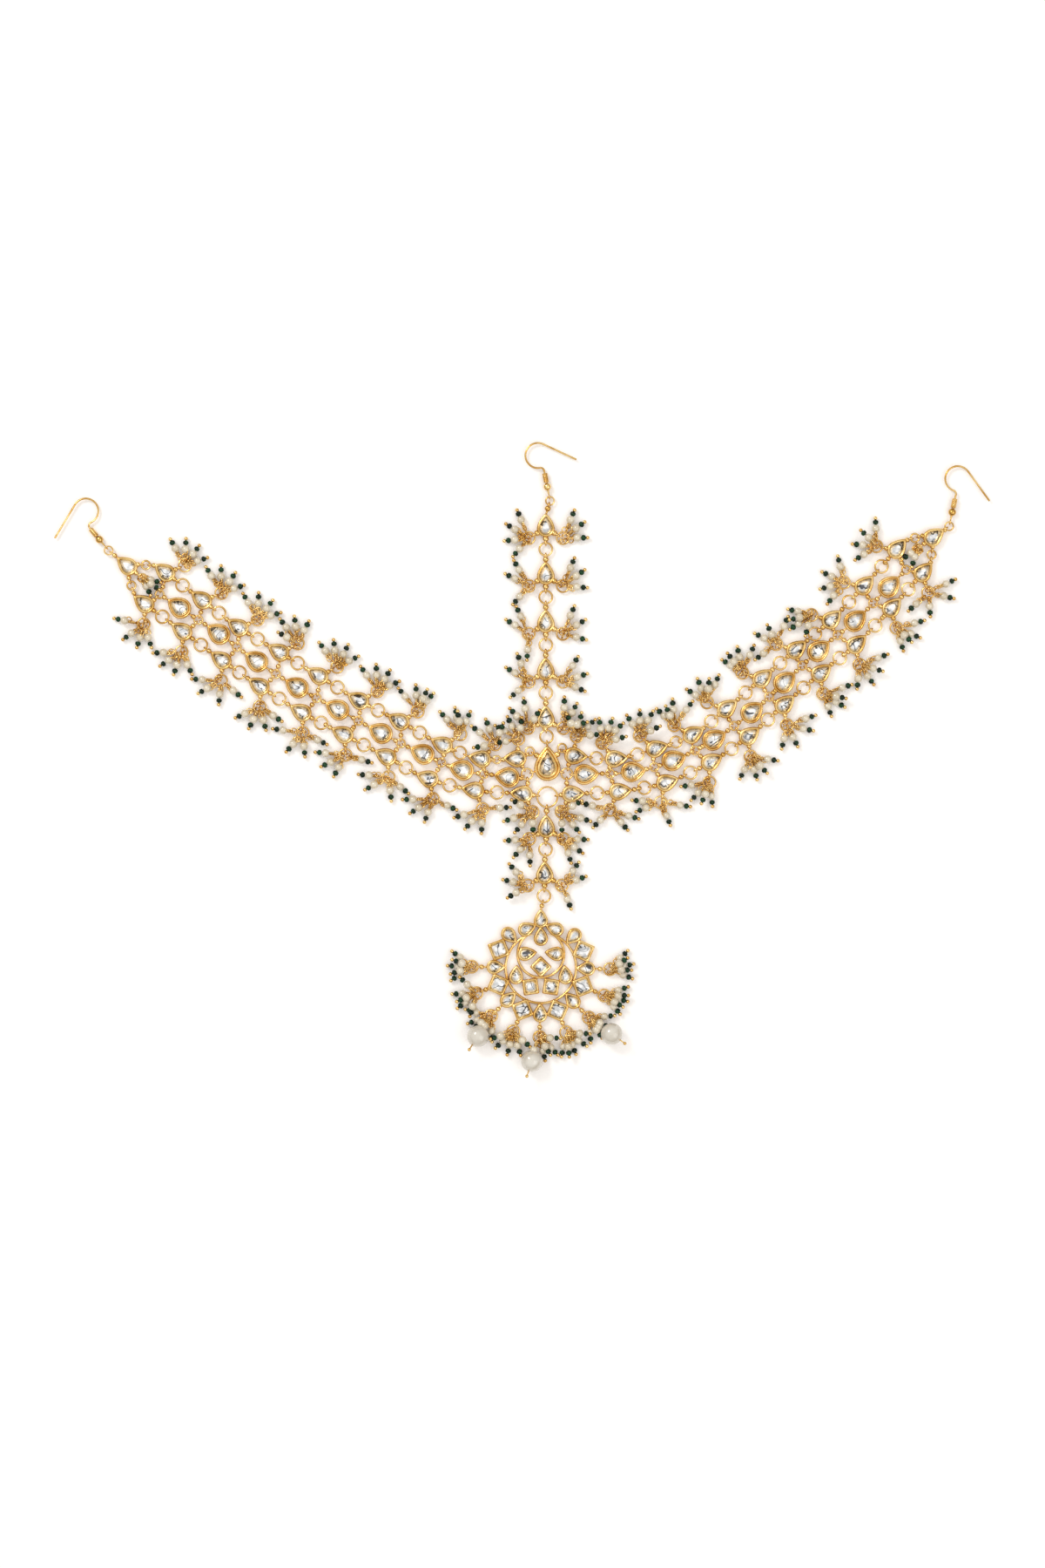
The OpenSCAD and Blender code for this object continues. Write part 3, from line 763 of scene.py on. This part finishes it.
def ball_centres(triangles: Array, radius: float, votes: int = VOTES) -> Array:
    """Finds the balls of one radius among triangles.

    The centre of a ball lies behind a triangle on it, square to the triangle from the middle of the circle
    through its corners, by the root of the radius squared less that circle's radius squared. Triangles vote
    for the place they give, by cells of a grid, and a cell with enough votes is a ball.

    Args:
        triangles: (n, 3, 3) corners in millimetres, outwards by the right hand.
        radius: the balls' radius.
        votes: the votes that make a ball.
    Returns:
        (m, 3) centres.
    """
    a, b, c = triangles[:, 0], triangles[:, 1], triangles[:, 2]
    u, v = b - a, c - a
    n = np.cross(u, v)
    n2 = (n**2).sum(1, keepdims=True)
    keep = n2[:, 0] > SLIVER
    a, u, v, n, n2 = a[keep], u[keep], v[keep], n[keep], n2[keep]
    u2, v2 = (u**2).sum(1, keepdims=True), (v**2).sum(1, keepdims=True)
    middle = (np.cross(n, u) * v2 + np.cross(v, n) * u2) / (2 * n2)
    depth2 = radius**2 - (middle**2).sum(1)
    centre = a + middle - n / np.sqrt(n2) * np.sqrt(np.maximum(depth2, 0))[:, None]
    centre = centre[depth2 > 0]
    _, cell, count = np.unique(np.round(centre * CELLS), axis=0, return_inverse=True, return_counts=True)
    found = []
    for k in np.argsort(-count):
        if count[k] < votes:
            break
        place = np.median(centre[cell.reshape(-1) == k], axis=0)
        if all(np.linalg.norm(place - other) > BALLS_APART for other in found):
            found.append(place)
    return np.array(found).reshape(-1, 3)


def meeting_point(places: Array, ways: Array) -> Array:
    """The point nearest to lines, by a linear equation summed over their places and unit vectors."""
    across = np.eye(3) - ways[:, :, None] * ways[:, None]
    return np.linalg.lstsq(across.sum(0), (across @ places[..., None]).sum(0)[:, 0], rcond=None)[0]


# Settings


@dataclass(frozen=True)
class Crest:
    """A rounded wall on a setting: from one inset of its outline to another, from a foot up to a top."""

    outer: float
    inner: float
    foot: float
    top: float
    steps: int = 9
    root: float = 0.9

    def section(self) -> Array:
        """The wall's closed section: half an ellipse over the wall, and a root inside it.

        Returns:
            (n, 2) insets and heights.
        """
        turn = np.linspace(0, math.pi, self.steps)
        middle, half = (self.outer + self.inner) / 2, (self.inner - self.outer) / 2
        over = np.stack([middle - half * np.cos(turn), self.foot + (self.top - self.foot) * np.sin(turn)], -1)
        return np.concatenate([over, [[self.inner, self.root], [self.outer, self.root]]])


@dataclass(frozen=True)
class Pear:
    """A pear setting in millimetres: radius of its round end, reach of its tip, stone's inset, and walls."""

    round_r: float
    tip: float
    stone_inset: float
    crests: tuple[Crest, ...]
    bow: float = math.radians(70)

    def outline(self, inset: Array, steps: int) -> Array:
        """Closed outlines about the middle of the round end, one for each inset.

        A point of a flank is the flank's centre plus the flank's radius less the inset along its angle, from
        the tip to the bow, and a point of the round end is its radius less the inset along its angle.

        Args:
            inset: (k,) insets.
            steps: points along a flank.
        Returns:
            (k, n, 2) points, the tip first.
        """
        bow = np.array([math.cos(self.bow), math.sin(self.bow)])
        span = self.tip**2 + self.round_r**2 - 2 * self.tip * self.round_r * bow[0]
        flank = span / (2 * (self.round_r - self.tip * bow[0]))
        centre = -(flank - self.round_r) * bow
        d = inset[:, None]
        first = np.arcsin(-centre[1] / (flank - d))
        turn = first + (self.bow - first) * np.linspace(0, 1, steps, endpoint=False)
        side = centre + (flank - d)[..., None] * np.stack([np.cos(turn), np.sin(turn)], -1)
        around = np.linspace(self.bow, TAU - self.bow, 2 * steps)
        end = (self.round_r - d)[..., None] * np.stack([np.cos(around), np.sin(around)], -1)
        return np.concatenate([side, end, side[:, :0:-1] * [1, -1]], axis=1)

    def stone_length(self) -> Pair:
        """Reach of the stone's tip from the middle of the round end, and the stone's whole length."""
        tip = float(self.outline(np.array([self.stone_inset]), 4)[0, 0, 0])
        return tip, tip + self.round_r - self.stone_inset


@dataclass(frozen=True)
class Square:
    """A square setting in millimetres: half its side, its stone's inset, and its walls."""

    half: float
    stone_inset: float
    crests: tuple[Crest, ...]
    power: float = 12.0

    def outline(self, inset: Array, steps: int) -> Array:
        """Closed outlines about the middle, one for each inset.

        At each angle the reach is that of a super-ellipse of the half side less the inset.

        Args:
            inset: (k,) insets.
            steps: a sixth of the points of an outline.
        Returns:
            (k, n, 2) points.
        """
        turn = np.linspace(0, TAU, 6 * steps, endpoint=False)
        unit = np.stack([np.cos(turn), np.sin(turn)], -1)
        reach = (np.abs(unit) ** self.power).sum(-1) ** (-1 / self.power)
        return (self.half - inset)[:, None, None] * reach[:, None] * unit


GAP = 0.15
SMALL = Pear(3.15, 5.4, 0.8 + GAP, (Crest(-0.3, 0.9, foot=1.85, top=2.72),))
ROW_CRESTS = (Crest(-0.14, 0.84, foot=1.8, top=2.5), Crest(0.72, 1.36, foot=2.0, top=2.76))
ROW = Pear(3.9, 5.8, 1.25 + GAP, ROW_CRESTS)
LARGE_CRESTS = (Crest(-0.14, 1.2, foot=1.8, top=2.75), Crest(0.96, 2.11, foot=2.9, top=3.8))
LARGE = Pear(4.95, 8.6, 2.0 + GAP, LARGE_CRESTS)
PETAL = Pear(2.6, 4.5, 0.75 + GAP, (Crest(-0.2, 0.85, foot=1.75, top=2.55),))
SQUARE_CREST = Crest(-0.14, 0.9, foot=1.75, top=2.5)
OUTER_SQUARE = Square(3.3, 0.8 + GAP, (SQUARE_CREST,))
INNER_SQUARE = Square(2.9, 0.8 + GAP, (SQUARE_CREST,))
PEARS = (SMALL, ROW, LARGE, PETAL)
SQUARES = (OUTER_SQUARE, INNER_SQUARE)
SQUARE_CORNERS = 8


@dataclass(frozen=True)
class Seat:
    """A setting's kind, the middle of its outline and its heading in radians."""

    kind: Pear | Square
    place: Array
    heading: float


def seat_of(stone: Array) -> Seat:
    """Finds the setting round a stone from the corners of its flat back.

    A square's corners lie by its diagonals, so its heading is a quarter of the angle of their sum at four
    times their angles, less an eighth of a turn. A pear points from the mean of its corners to the farthest,
    its tip, and its length tells its kind.

    Args:
        stone: (n, 3) points of the stone.
    Returns:
        The setting's seat.
    """
    back = stone[stone[:, 2] < stone[:, 2].min() + SAME_PLACE][:, :2]
    middle = back.mean(0)
    away = back - middle
    if len(back) == SQUARE_CORNERS:
        turn = np.arctan2(away[:, 1], away[:, 0])
        heading = (math.atan2(np.sin(4 * turn).sum(), np.cos(4 * turn).sum()) - math.pi) / 4
        half = (away @ [math.cos(heading), math.sin(heading)]).max()
        kind = min(SQUARES, key=lambda square: abs(square.half - square.stone_inset - half))
        return Seat(kind, middle, heading)
    tip = away[np.argmax(np.linalg.norm(away, axis=1))]
    heading = math.atan2(tip[1], tip[0])
    way = np.array([math.cos(heading), math.sin(heading)])
    length = (away @ way).max() - (away @ way).min()
    kind = min(PEARS, key=lambda pear: abs(pear.stone_length()[1] - length))
    return Seat(kind, middle + tip - kind.stone_length()[0] * way, heading)


@dataclass
class Rims:
    """The rounded walls of a group of settings, each set round its stone."""

    name: str
    stones: tuple[str, ...]
    outline_steps: int = 12

    def build(self, frame: dict, gold: Material) -> list[Seat]:
        """Carries each wall's section along its setting's outline.

        Args:
            frame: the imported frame.
            gold: the finish.
        Returns:
            Where the settings are.
        """
        seats = [seat_of(solid) for node in self.stones for solid in loose_solids(frame["nodes"][node])]
        skin = Skin()
        for seat in seats:
            frames = level_frames(np.array([seat.heading]))
            place = np.array([[*seat.place, 0.0]])
            for crest in seat.kind.crests:
                section = crest.section()
                level = seat.kind.outline(section[:, 0], self.outline_steps)
                heights = np.broadcast_to(section[:, 1, None, None], (*level.shape[:2], 1))
                points = np.concatenate([level, heights], -1).reshape(-1, 3)
                stamp(skin, (points, sheet(*level.shape[:2], True)), place, frames)
        skin.piece(self.name, gold)
        return seats


@dataclass
class Crescent:
    """The two wires of the pendant's crescent in millimetres, rounded over the plate's strips."""

    name: str = "pendant_crescent_wires"
    outer: float = 13.5
    inner: float = 8.9
    rise: float = 5.2
    top: float = 12.8
    wire: float = 0.5
    height: float = 1.2
    steps: int = 96
    sides: int = 10

    def build(self, seats: list[Seat], gold: Material) -> None:
        """Lays each wire as an arc of a circle up to the crescent's top.

        The pendant's middle is equally far from its outer squares, which is a linear equation for each.

        Args:
            seats: the seats of the pendant's settings.
            gold: the finish.
        """
        squares = np.array([seat.place for seat in seats if seat.kind is OUTER_SQUARE])
        system = np.column_stack([2 * squares, np.ones(len(squares))])
        middle = np.linalg.lstsq(system, (squares**2).sum(1), rcond=None)[0][:2]
        skin = Skin()
        for radius, lift in ((self.outer, 0.0), (self.inner, self.rise)):
            end = math.asin((self.top - lift) / radius)
            turn = np.linspace(math.pi - end, TAU + end, self.steps)
            place = [middle[0] + radius * np.cos(turn), middle[1] + lift + radius * np.sin(turn)]
            path = np.stack([*place, np.full_like(turn, self.height)], -1)
            skin.add(*tube(path, self.wire, self.sides))
        skin.piece(self.name, gold)


# Clusters


@dataclass
class Drops:
    """Drops of clusters: their pearls' centres, unit vectors out along them, and their rings' middles."""

    pearls: Array
    along: Array
    middles: Array

    def joined(self, more: Drops) -> Drops:
        """These drops and then the others."""
        pairs = (self.pearls, more.pearls), (self.along, more.along), (self.middles, more.middles)
        return Drops(*map(np.concatenate, pairs))

    def at(self, reach: float) -> Array:
        """Places along the drops, at a reach from the pearls' centres."""
        return self.pearls + reach * self.along


@dataclass(frozen=True)
class Wirework:
    """The wire of clusters in millimetres: pins with end balls, windings behind the pearls, and rings.

    What lies along a drop has its reach from the pearl's centre.
    """

    stem_r: float = 0.28
    stem_on: float = -1.35
    pin_r: float = 0.22
    pin_on: float = 2.45
    ball: Ball = Ball(radius=0.76, rings=7, sides=10)
    ball_on: float = 4.0
    coil: Coil = Coil(length=2.3, radius=0.55, wire=0.22, turns=4.5)
    coil_on: float = -1.5
    eye: Loop = Loop(radius=0.85, wire=0.25)
    eye_roll: Pair = (0.9, 2.2)
    link: Loop = Loop(radius=1.05, wire=0.25, steps=16)
    link_shares: Pair = (0.25, 0.6)
    link_stray: float = 0.35
    link_flatness: Triple = (1.0, 1.0, 0.4)
    link_rise: float = 0.3
    heap: Loop = Loop(radius=0.95, wire=0.25)
    heap_count: int = 5
    heap_spread: Triple = (1.3, 1.3, 0.6)
    heap_lift: Pair = (0.3, 1.4)
    heap_rise: float = 0.8

    def pins(self, skin: Skin, drops: Drops, edge: Array, frames: Array) -> None:
        """Adds each drop's pin from its ring to its end ball, and the winding behind its pearl.

        Args:
            skin: what the wire is added to.
            drops: the drops.
            edge: where each drop leaves its ring.
            frames: the drops' turning matrices.
        """
        rods(skin, edge, drops.at(self.stem_on), self.stem_r)
        stamp(skin, self.ball.shape(), drops.at(self.ball_on), frames)
        rods(skin, drops.at(self.pin_on), drops.at(self.ball_on), self.pin_r)
        stamp(skin, self.coil.shape(), drops.at(self.coil_on), frames)

    def loops(self, skin: Skin, drops: Drops, edge: Array, rings: Array, rng: np.random.Generator) -> None:
        """Adds small rings of wire: an eye and two links for each drop, and a heap in each cluster's ring.

        Args:
            skin: what the rings are added to.
            drops: the drops.
            edge: where each drop leaves its ring.
            rings: the middles of the clusters' rings.
            rng: where the stray comes from.
        """
        count = len(drops.pearls)
        stamp(skin, self.eye.shape(), edge, along_frames(drops.along, rng.uniform(*self.eye_roll, count)))
        for share in self.link_shares:
            drift = rng.normal(0, self.link_stray, (count, 3)) * self.link_flatness + [0, 0, self.link_rise]
            places = edge + share * (drops.pearls - edge) + drift
            rolled = along_frames(drops.along, rng.uniform(0, math.pi, count))
            stamp(skin, self.link.shape(), places, rolled)
        heaped = len(rings) * self.heap_count
        inside = rings.repeat(self.heap_count, 0) + rng.uniform(-1, 1, (heaped, 3)) * self.heap_spread
        turned = level_frames(rng.uniform(0, TAU, heaped), rng.uniform(*self.heap_lift, heaped))
        stamp(skin, self.heap.shape(), inside + [0, 0, self.heap_rise], turned)


JUMP_RING = Loop(radius=2.35, wire=0.36, steps=32, sides=8)
END_RING = Loop(radius=1.6, wire=0.36, steps=32, sides=8)


@dataclass
class Fringe:
    """The pearl clusters of one CAD node: drops of pearl, seed bead and ball on wound wire, and rings.

    Full is the least number of drops in a cluster.
    """

    node: str
    seed: int
    jump: Loop = JUMP_RING
    full: int = 4
    pearl: Bead = Bead(radius=1.5, half_length=1.5, hole_r=0.22, sides=16, steps=12)
    pearl_sizes: Pair = (1.0, 1.1)
    pearl_lift: float = 0.12
    bead: Bead = Bead(radius=1.1, half_length=0.84, hole_r=0.3, sides=12, steps=9, bulge=0.6)
    bead_sizes: Pair = (0.98, 1.08)
    bead_found_r: float = 1.05
    bead_on: float = 2.45
    widest: int = 60
    grid_step: int = 10
    centring: float = 0.35
    stray: Pair = (-0.12, 0.12)
    extra_reach: Pair = (3.9, 5.4)
    extra_height: Pair = (3.3, 4.2)
    extra_slope: Pair = (-0.25, 0.05)
    wirework: Wirework = Wirework()

    def found(self, node: Object) -> tuple[Drops, Array]:
        """Reads the drops of the node.

        Each seed bead belongs to the pearl that lies its distance behind it, and a cluster's ring is where
        the lines of its drops meet.

        Args:
            node: the CAD node.
        Returns:
            The drops, and the middles of the clusters' rings.
        """
        triangles = triangles_of(node)
        pearls = ball_centres(triangles, self.pearl.radius)
        seeds = ball_centres(triangles, self.bead_found_r)
        apart = np.linalg.norm(seeds[None] - pearls[:, None], axis=2)
        which = np.argmin(np.abs(apart - self.bead_on), axis=1)
        along = unit(seeds[which] - pearls)
        solids = loose_solids(node)
        near = [
            [np.abs(np.linalg.norm(solid - pearl, axis=1) - self.pearl.radius).min() for solid in solids]
            for pearl in pearls
        ]
        owner = np.argmin(near, axis=1)
        owners = np.unique(owner)
        rings = np.array([meeting_point(pearls[owner == k], along[owner == k]) for k in owners])
        return Drops(pearls, along, rings[np.searchsorted(owners, owner)]), rings

    def extra(self, drops: Drops, rings: Array, rng: np.random.Generator) -> Drops:
        """Fills each cluster up with shorter drops that lie over the others, in the widest free directions.

        Args:
            drops: the drops that were found.
            rings: the middles of the clusters' rings.
            rng: where the stray comes from.
        Returns:
            The further drops.
        """
        pearls, ways, middles = [], [], []
        grid = np.radians(np.arange(-self.widest, self.widest + 1, self.grid_step))
        for middle in rings:
            along = drops.along[np.linalg.norm(drops.middles - middle, axis=1) < SAME_PLACE]
            mean = along.sum(0)
            heading = math.atan2(mean[1], mean[0])
            taken = [math.remainder(math.atan2(way[1], way[0]) - heading, TAU) for way in along]
            while len(taken) < self.full:
                room = np.abs(grid[:, None] - np.array(taken)[None]).min(1) - self.centring * np.abs(grid)
                turn = float(grid[np.argmax(room)] + rng.uniform(*self.stray))
                taken.append(turn)
                way = np.array([math.cos(heading + turn), math.sin(heading + turn), 0.0])
                reach = rng.uniform(*self.extra_reach)
                height = rng.uniform(*self.extra_height)
                pearls.append(np.array([middle[0], middle[1], height]) + reach * way)
                ways.append(way + [0, 0, rng.uniform(*self.extra_slope)])
                middles.append(middle)
        pearls, ways, middles = (np.array(rows).reshape(-1, 3) for rows in (pearls, ways, middles))
        return Drops(pearls, unit(ways), middles)

    def build(self, frame: dict, finishes: Finishes) -> None:
        """Builds the fringe's pearls, seed beads and wire in place of the node.

        Args:
            frame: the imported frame.
            finishes: the jewel's materials.
        """
        rng = np.random.default_rng(self.seed)
        drops, rings = self.found(frame["nodes"][self.node])
        drops = drops.joined(self.extra(drops, rings, rng))
        count = len(drops.pearls)
        frames = along_frames(drops.along, rng.uniform(0, TAU, count))

        nacre = Skin()
        lifted = drops.pearls + [0, 0, self.pearl_lift]
        stamp(nacre, self.pearl.shape(), lifted, frames, rng.uniform(*self.pearl_sizes, count))
        made = nacre.piece(f"{self.node}_pearls", finishes.small_pearl)
        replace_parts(made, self.node)

        beads = Skin()
        stamp(beads, self.bead.shape(), drops.at(self.bead_on), frames, rng.uniform(*self.bead_sizes, count))
        beads.piece(f"{self.node}_seeds", finishes.seed)

        wire = Skin()
        edge = drops.middles + self.jump.radius * unit(drops.pearls - drops.middles)
        self.wirework.pins(wire, drops, edge, frames)
        self.wirework.loops(wire, drops, edge, rings, rng)
        stamp(wire, self.jump.shape(), rings, level_frames(np.zeros(len(rings))))
        wire.piece(f"{self.node}_wire", finishes.gold)


@dataclass
class SolderBalls:
    """Full round solder balls over the small ones on the arms of some nodes, at the height of their wire."""

    nodes: tuple[str, ...]
    name: str
    ball: Ball = Ball(radius=1.0, rings=9, sides=14)
    found_r: float = 0.65
    votes: int = 60
    wire_height: float = 1.5
    height_play: float = 0.05

    def build(self, frame: dict, gold: Material) -> None:
        """Sets a ball round each ball of the nodes.

        Args:
            frame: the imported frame.
            gold: the finish.
        """
        faces = [triangles_of(frame["nodes"][node]) for node in self.nodes]
        places = np.concatenate([ball_centres(part, self.found_r, self.votes) for part in faces])
        places = places[np.abs(places[:, 2] - self.wire_height) < self.height_play]
        skin = Skin()
        stamp(skin, self.ball.shape(), places, level_frames(np.zeros(len(places))))
        skin.piece(self.name, gold)


@dataclass
class LargePearls:
    """The three large pearls of the pendant, drilled along their pins."""

    sides: tuple[str, ...] = ("left", "middle", "right")
    pearl: Bead = Bead(radius=4.2, half_length=4.2, hole_r=0.42, sides=48, steps=33)

    def build(self, frame: dict, finish: Material) -> None:
        """Builds each pearl with its hole along its pin's longest direction.

        Args:
            frame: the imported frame.
            finish: the pearls' material.
        """
        for side in self.sides:
            node = f"{side}_pearl"
            centre = ball_centres(triangles_of(frame["nodes"][node]), self.pearl.radius)[:1]
            pin = triangles_of(frame["nodes"][f"{node}_pin"]).reshape(-1, 3)
            along = np.linalg.svd(pin - pin.mean(0), full_matrices=False)[2][:1]
            skin = Skin()
            stamp(skin, self.pearl.shape(), centre, along_frames(along))
            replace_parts(skin.piece(f"{node}_drilled", finish), node)


# The studio


@dataclass(frozen=True)
class Lamp:
    """A soft square light: its place and side in metres, and its power in watts."""

    name: str
    place: Triple
    side: float
    power: float

    def build(self) -> None:
        """Hangs the light so that it faces the jewel's middle."""
        data = bpy.data.lights.new(self.name, "AREA")
        data.size = self.side
        data.energy = self.power
        made = linked(self.name, data)
        made.location = self.place
        made.rotation_euler = (-made.location).to_track_quat("-Z", "Y").to_euler()


@dataclass
class Studio:
    """A white table, soft light and a camera straight above, which sees the picture's width and height.

    The picture is in pixels. The chain's foot is the pixel at the drawing's origin, which the frame moved by
    its shift in millimetres.
    """

    image: tuple[int, int] = (1200, 1800)
    chain_foot: Pair = (598.5, 872.4)
    pixel: float = 1 / 3
    frame_shift: Pair = (-0.347, -0.162)
    distance: float = 1600.0
    sensor: float = 36.0
    clip_end: float = 60.0
    table_half: float = 20000.0
    table_drop: float = 0.05
    horizon: Colour = rgb(0.09, 0.05, 0.016)
    zenith: Colour = rgb(1.0, 0.99, 0.97)
    sky_range: Pair = (0.05, 0.75)
    lamps: tuple[Lamp, ...] = (
        Lamp("window", place=(-0.9, 0.9, 1.3), side=0.48, power=9.0),
        Lamp("fill", place=(1.0, -0.5, 1.2), side=1.2, power=5.0),
    )

    def camera(self) -> None:
        """Puts the camera above the middle of the picture, with the lens that the picture's height needs."""
        data = bpy.data.cameras.new("camera")
        data.sensor_width = self.sensor
        data.lens = self.sensor * self.distance / (self.image[1] * self.pixel)
        data.clip_end = self.clip_end
        x = (self.image[0] / 2 - self.chain_foot[0]) * self.pixel + self.frame_shift[0]
        y = (self.chain_foot[1] - self.image[1] / 2) * self.pixel + self.frame_shift[1]
        made = linked("camera", data)
        made.location = (x * MM, y * MM, self.distance * MM)
        bpy.context.scene.camera = made

    def table(self) -> None:
        """Lays a wide flat white table just under the jewel."""
        corners = np.array([[-1, -1, 0], [1, -1, 0], [1, 1, 0], [-1, 1, 0]]) * self.table_half
        mesh = bpy.data.meshes.new("table")
        mesh.from_pydata(((corners - [0, 0, self.table_drop]) * MM).tolist(), [], [[0, 1, 2, 3]])
        mesh.materials.append(TableWhite().make())
        linked("table", mesh)

    def sky(self) -> None:
        """Puts up a white dome that darkens towards the horizon, so that slopes of gold show their tone."""
        world = bpy.data.worlds.new("studio")
        bpy.context.scene.world = world
        world.use_nodes = True
        nodes = Nodes(world.node_tree)
        way = nodes.add("ShaderNodeTexCoord", out="Generated")
        height = nodes.add("ShaderNodeSeparateXYZ", {0: way}, out="Z")
        stops = tuple(zip(self.sky_range, (self.horizon, self.zenith)))
        dome = nodes.add("ShaderNodeValToRGB", {0: height}, stops=stops)
        nodes.feed(world.node_tree.nodes["Background"].inputs["Color"], dome)

    def build(self) -> None:
        """Builds the studio, with colours shown as they are."""
        bpy.context.scene.view_settings.view_transform = "Standard"
        self.camera()
        self.table()
        self.sky()
        for lamp in self.lamps:
            lamp.build()


# The whole


@dataclass(frozen=True)
class Plating:
    """Solder and plate over a gold node: its thickness in millimetres, and the share of faces kept."""

    thickness: float = 0.08
    kept: float = 0.65
    join: float = 0.001

    def lay(self, node: Object) -> None:
        """Joins a node's loose triangles, thins them out and pushes them outwards along their normals.

        Args:
            node: the CAD node, which gets three modifiers.
        """
        weld = node.modifiers.new("weld", "WELD")
        weld.merge_threshold = self.join * MM
        thin = node.modifiers.new("thin", "DECIMATE")
        thin.ratio = self.kept
        coat = node.modifiers.new("plating", "DISPLACE")
        coat.strength = self.thickness * MM
        coat.mid_level = 0.0


def dress_frame(frame: dict, finishes: Finishes) -> None:
    """Gives every CAD node the finish of gold or glass, and plates the gold ones apart from hooks and pins.

    Args:
        frame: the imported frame.
        finishes: the jewel's materials.
    """
    for name, node in frame["nodes"].items():
        stone = "stone" in name
        node.data.materials.clear()
        node.data.materials.append(finishes.glass if stone else finishes.gold)
        if not (stone or "hook" in name or "pearl" in name):
            Plating().lay(node)


CHAIN = (*(f"parting_stone_{i}" for i in range(1, 6)), "lower_stone_1", "lower_stone_2", "middle_stone")
RIMS = (
    Rims("left_arm_rims", ("left_arm_stones", "left_end_stone")),
    Rims("right_arm_rims", ("right_arm_stones", "right_end_stone")),
    Rims("chain_rims", CHAIN),
)
PENDANT_RIMS = Rims("pendant_rims", ("pendant_stones",))
ARM_EDGES = ("left_upper", "left_lower", "right_upper", "right_lower")
FRINGES = (
    *(Fringe(f"{edge}_clusters", seed) for seed, edge in enumerate(ARM_EDGES, 11)),
    Fringe("parting_clusters", 15, full=3),
    Fringe("pendant_clusters", 16, full=5),
    Fringe("left_end_cluster", 17, END_RING, full=3),
    Fringe("right_end_cluster", 18, END_RING, full=2),
)
ARM_NODES = ("upper_row", "middle_row", "lower_row", "end_setting")
CHAIN_NODES = tuple(stone.replace("stone", "setting") for stone in CHAIN)
SOLDER = (
    SolderBalls(tuple(f"left_{node}" for node in ARM_NODES), "left_solder_balls"),
    SolderBalls(tuple(f"right_{node}" for node in ARM_NODES), "right_solder_balls"),
    SolderBalls(CHAIN_NODES, "chain_solder_balls", Ball(radius=1.2, rings=9, sides=14)),
    SolderBalls(("pendant_plate",), "pendant_solder_balls"),
)


def main() -> None:
    """Builds the dressed jewel."""
    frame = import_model()
    Studio().build()
    finishes = Finishes(
        gold=Gold().make(),
        glass=FoilGlass().make(),
        small_pearl=Nacre("small_pearl", body=rgb(0.74, 0.66, 0.51), shade=rgb(0.62, 0.53, 0.38)).make(),
        large_pearl=Nacre("large_pearl", body=rgb(0.69, 0.65, 0.57), shade=rgb(0.60, 0.55, 0.46)).make(),
        seed=DarkGlass().make(),
    )
    dress_frame(frame, finishes)
    for rims in RIMS:
        rims.build(frame, finishes.gold)
    Crescent().build(PENDANT_RIMS.build(frame, finishes.gold), finishes.gold)
    for fringe in FRINGES:
        fringe.build(frame, finishes)
    LargePearls().build(frame, finishes.large_pearl)
    for solder in SOLDER:
        solder.build(frame, finishes.gold)


if __name__ == "__main__":
    logging.basicConfig(level=logging.INFO, format="%(message)s")
    main()
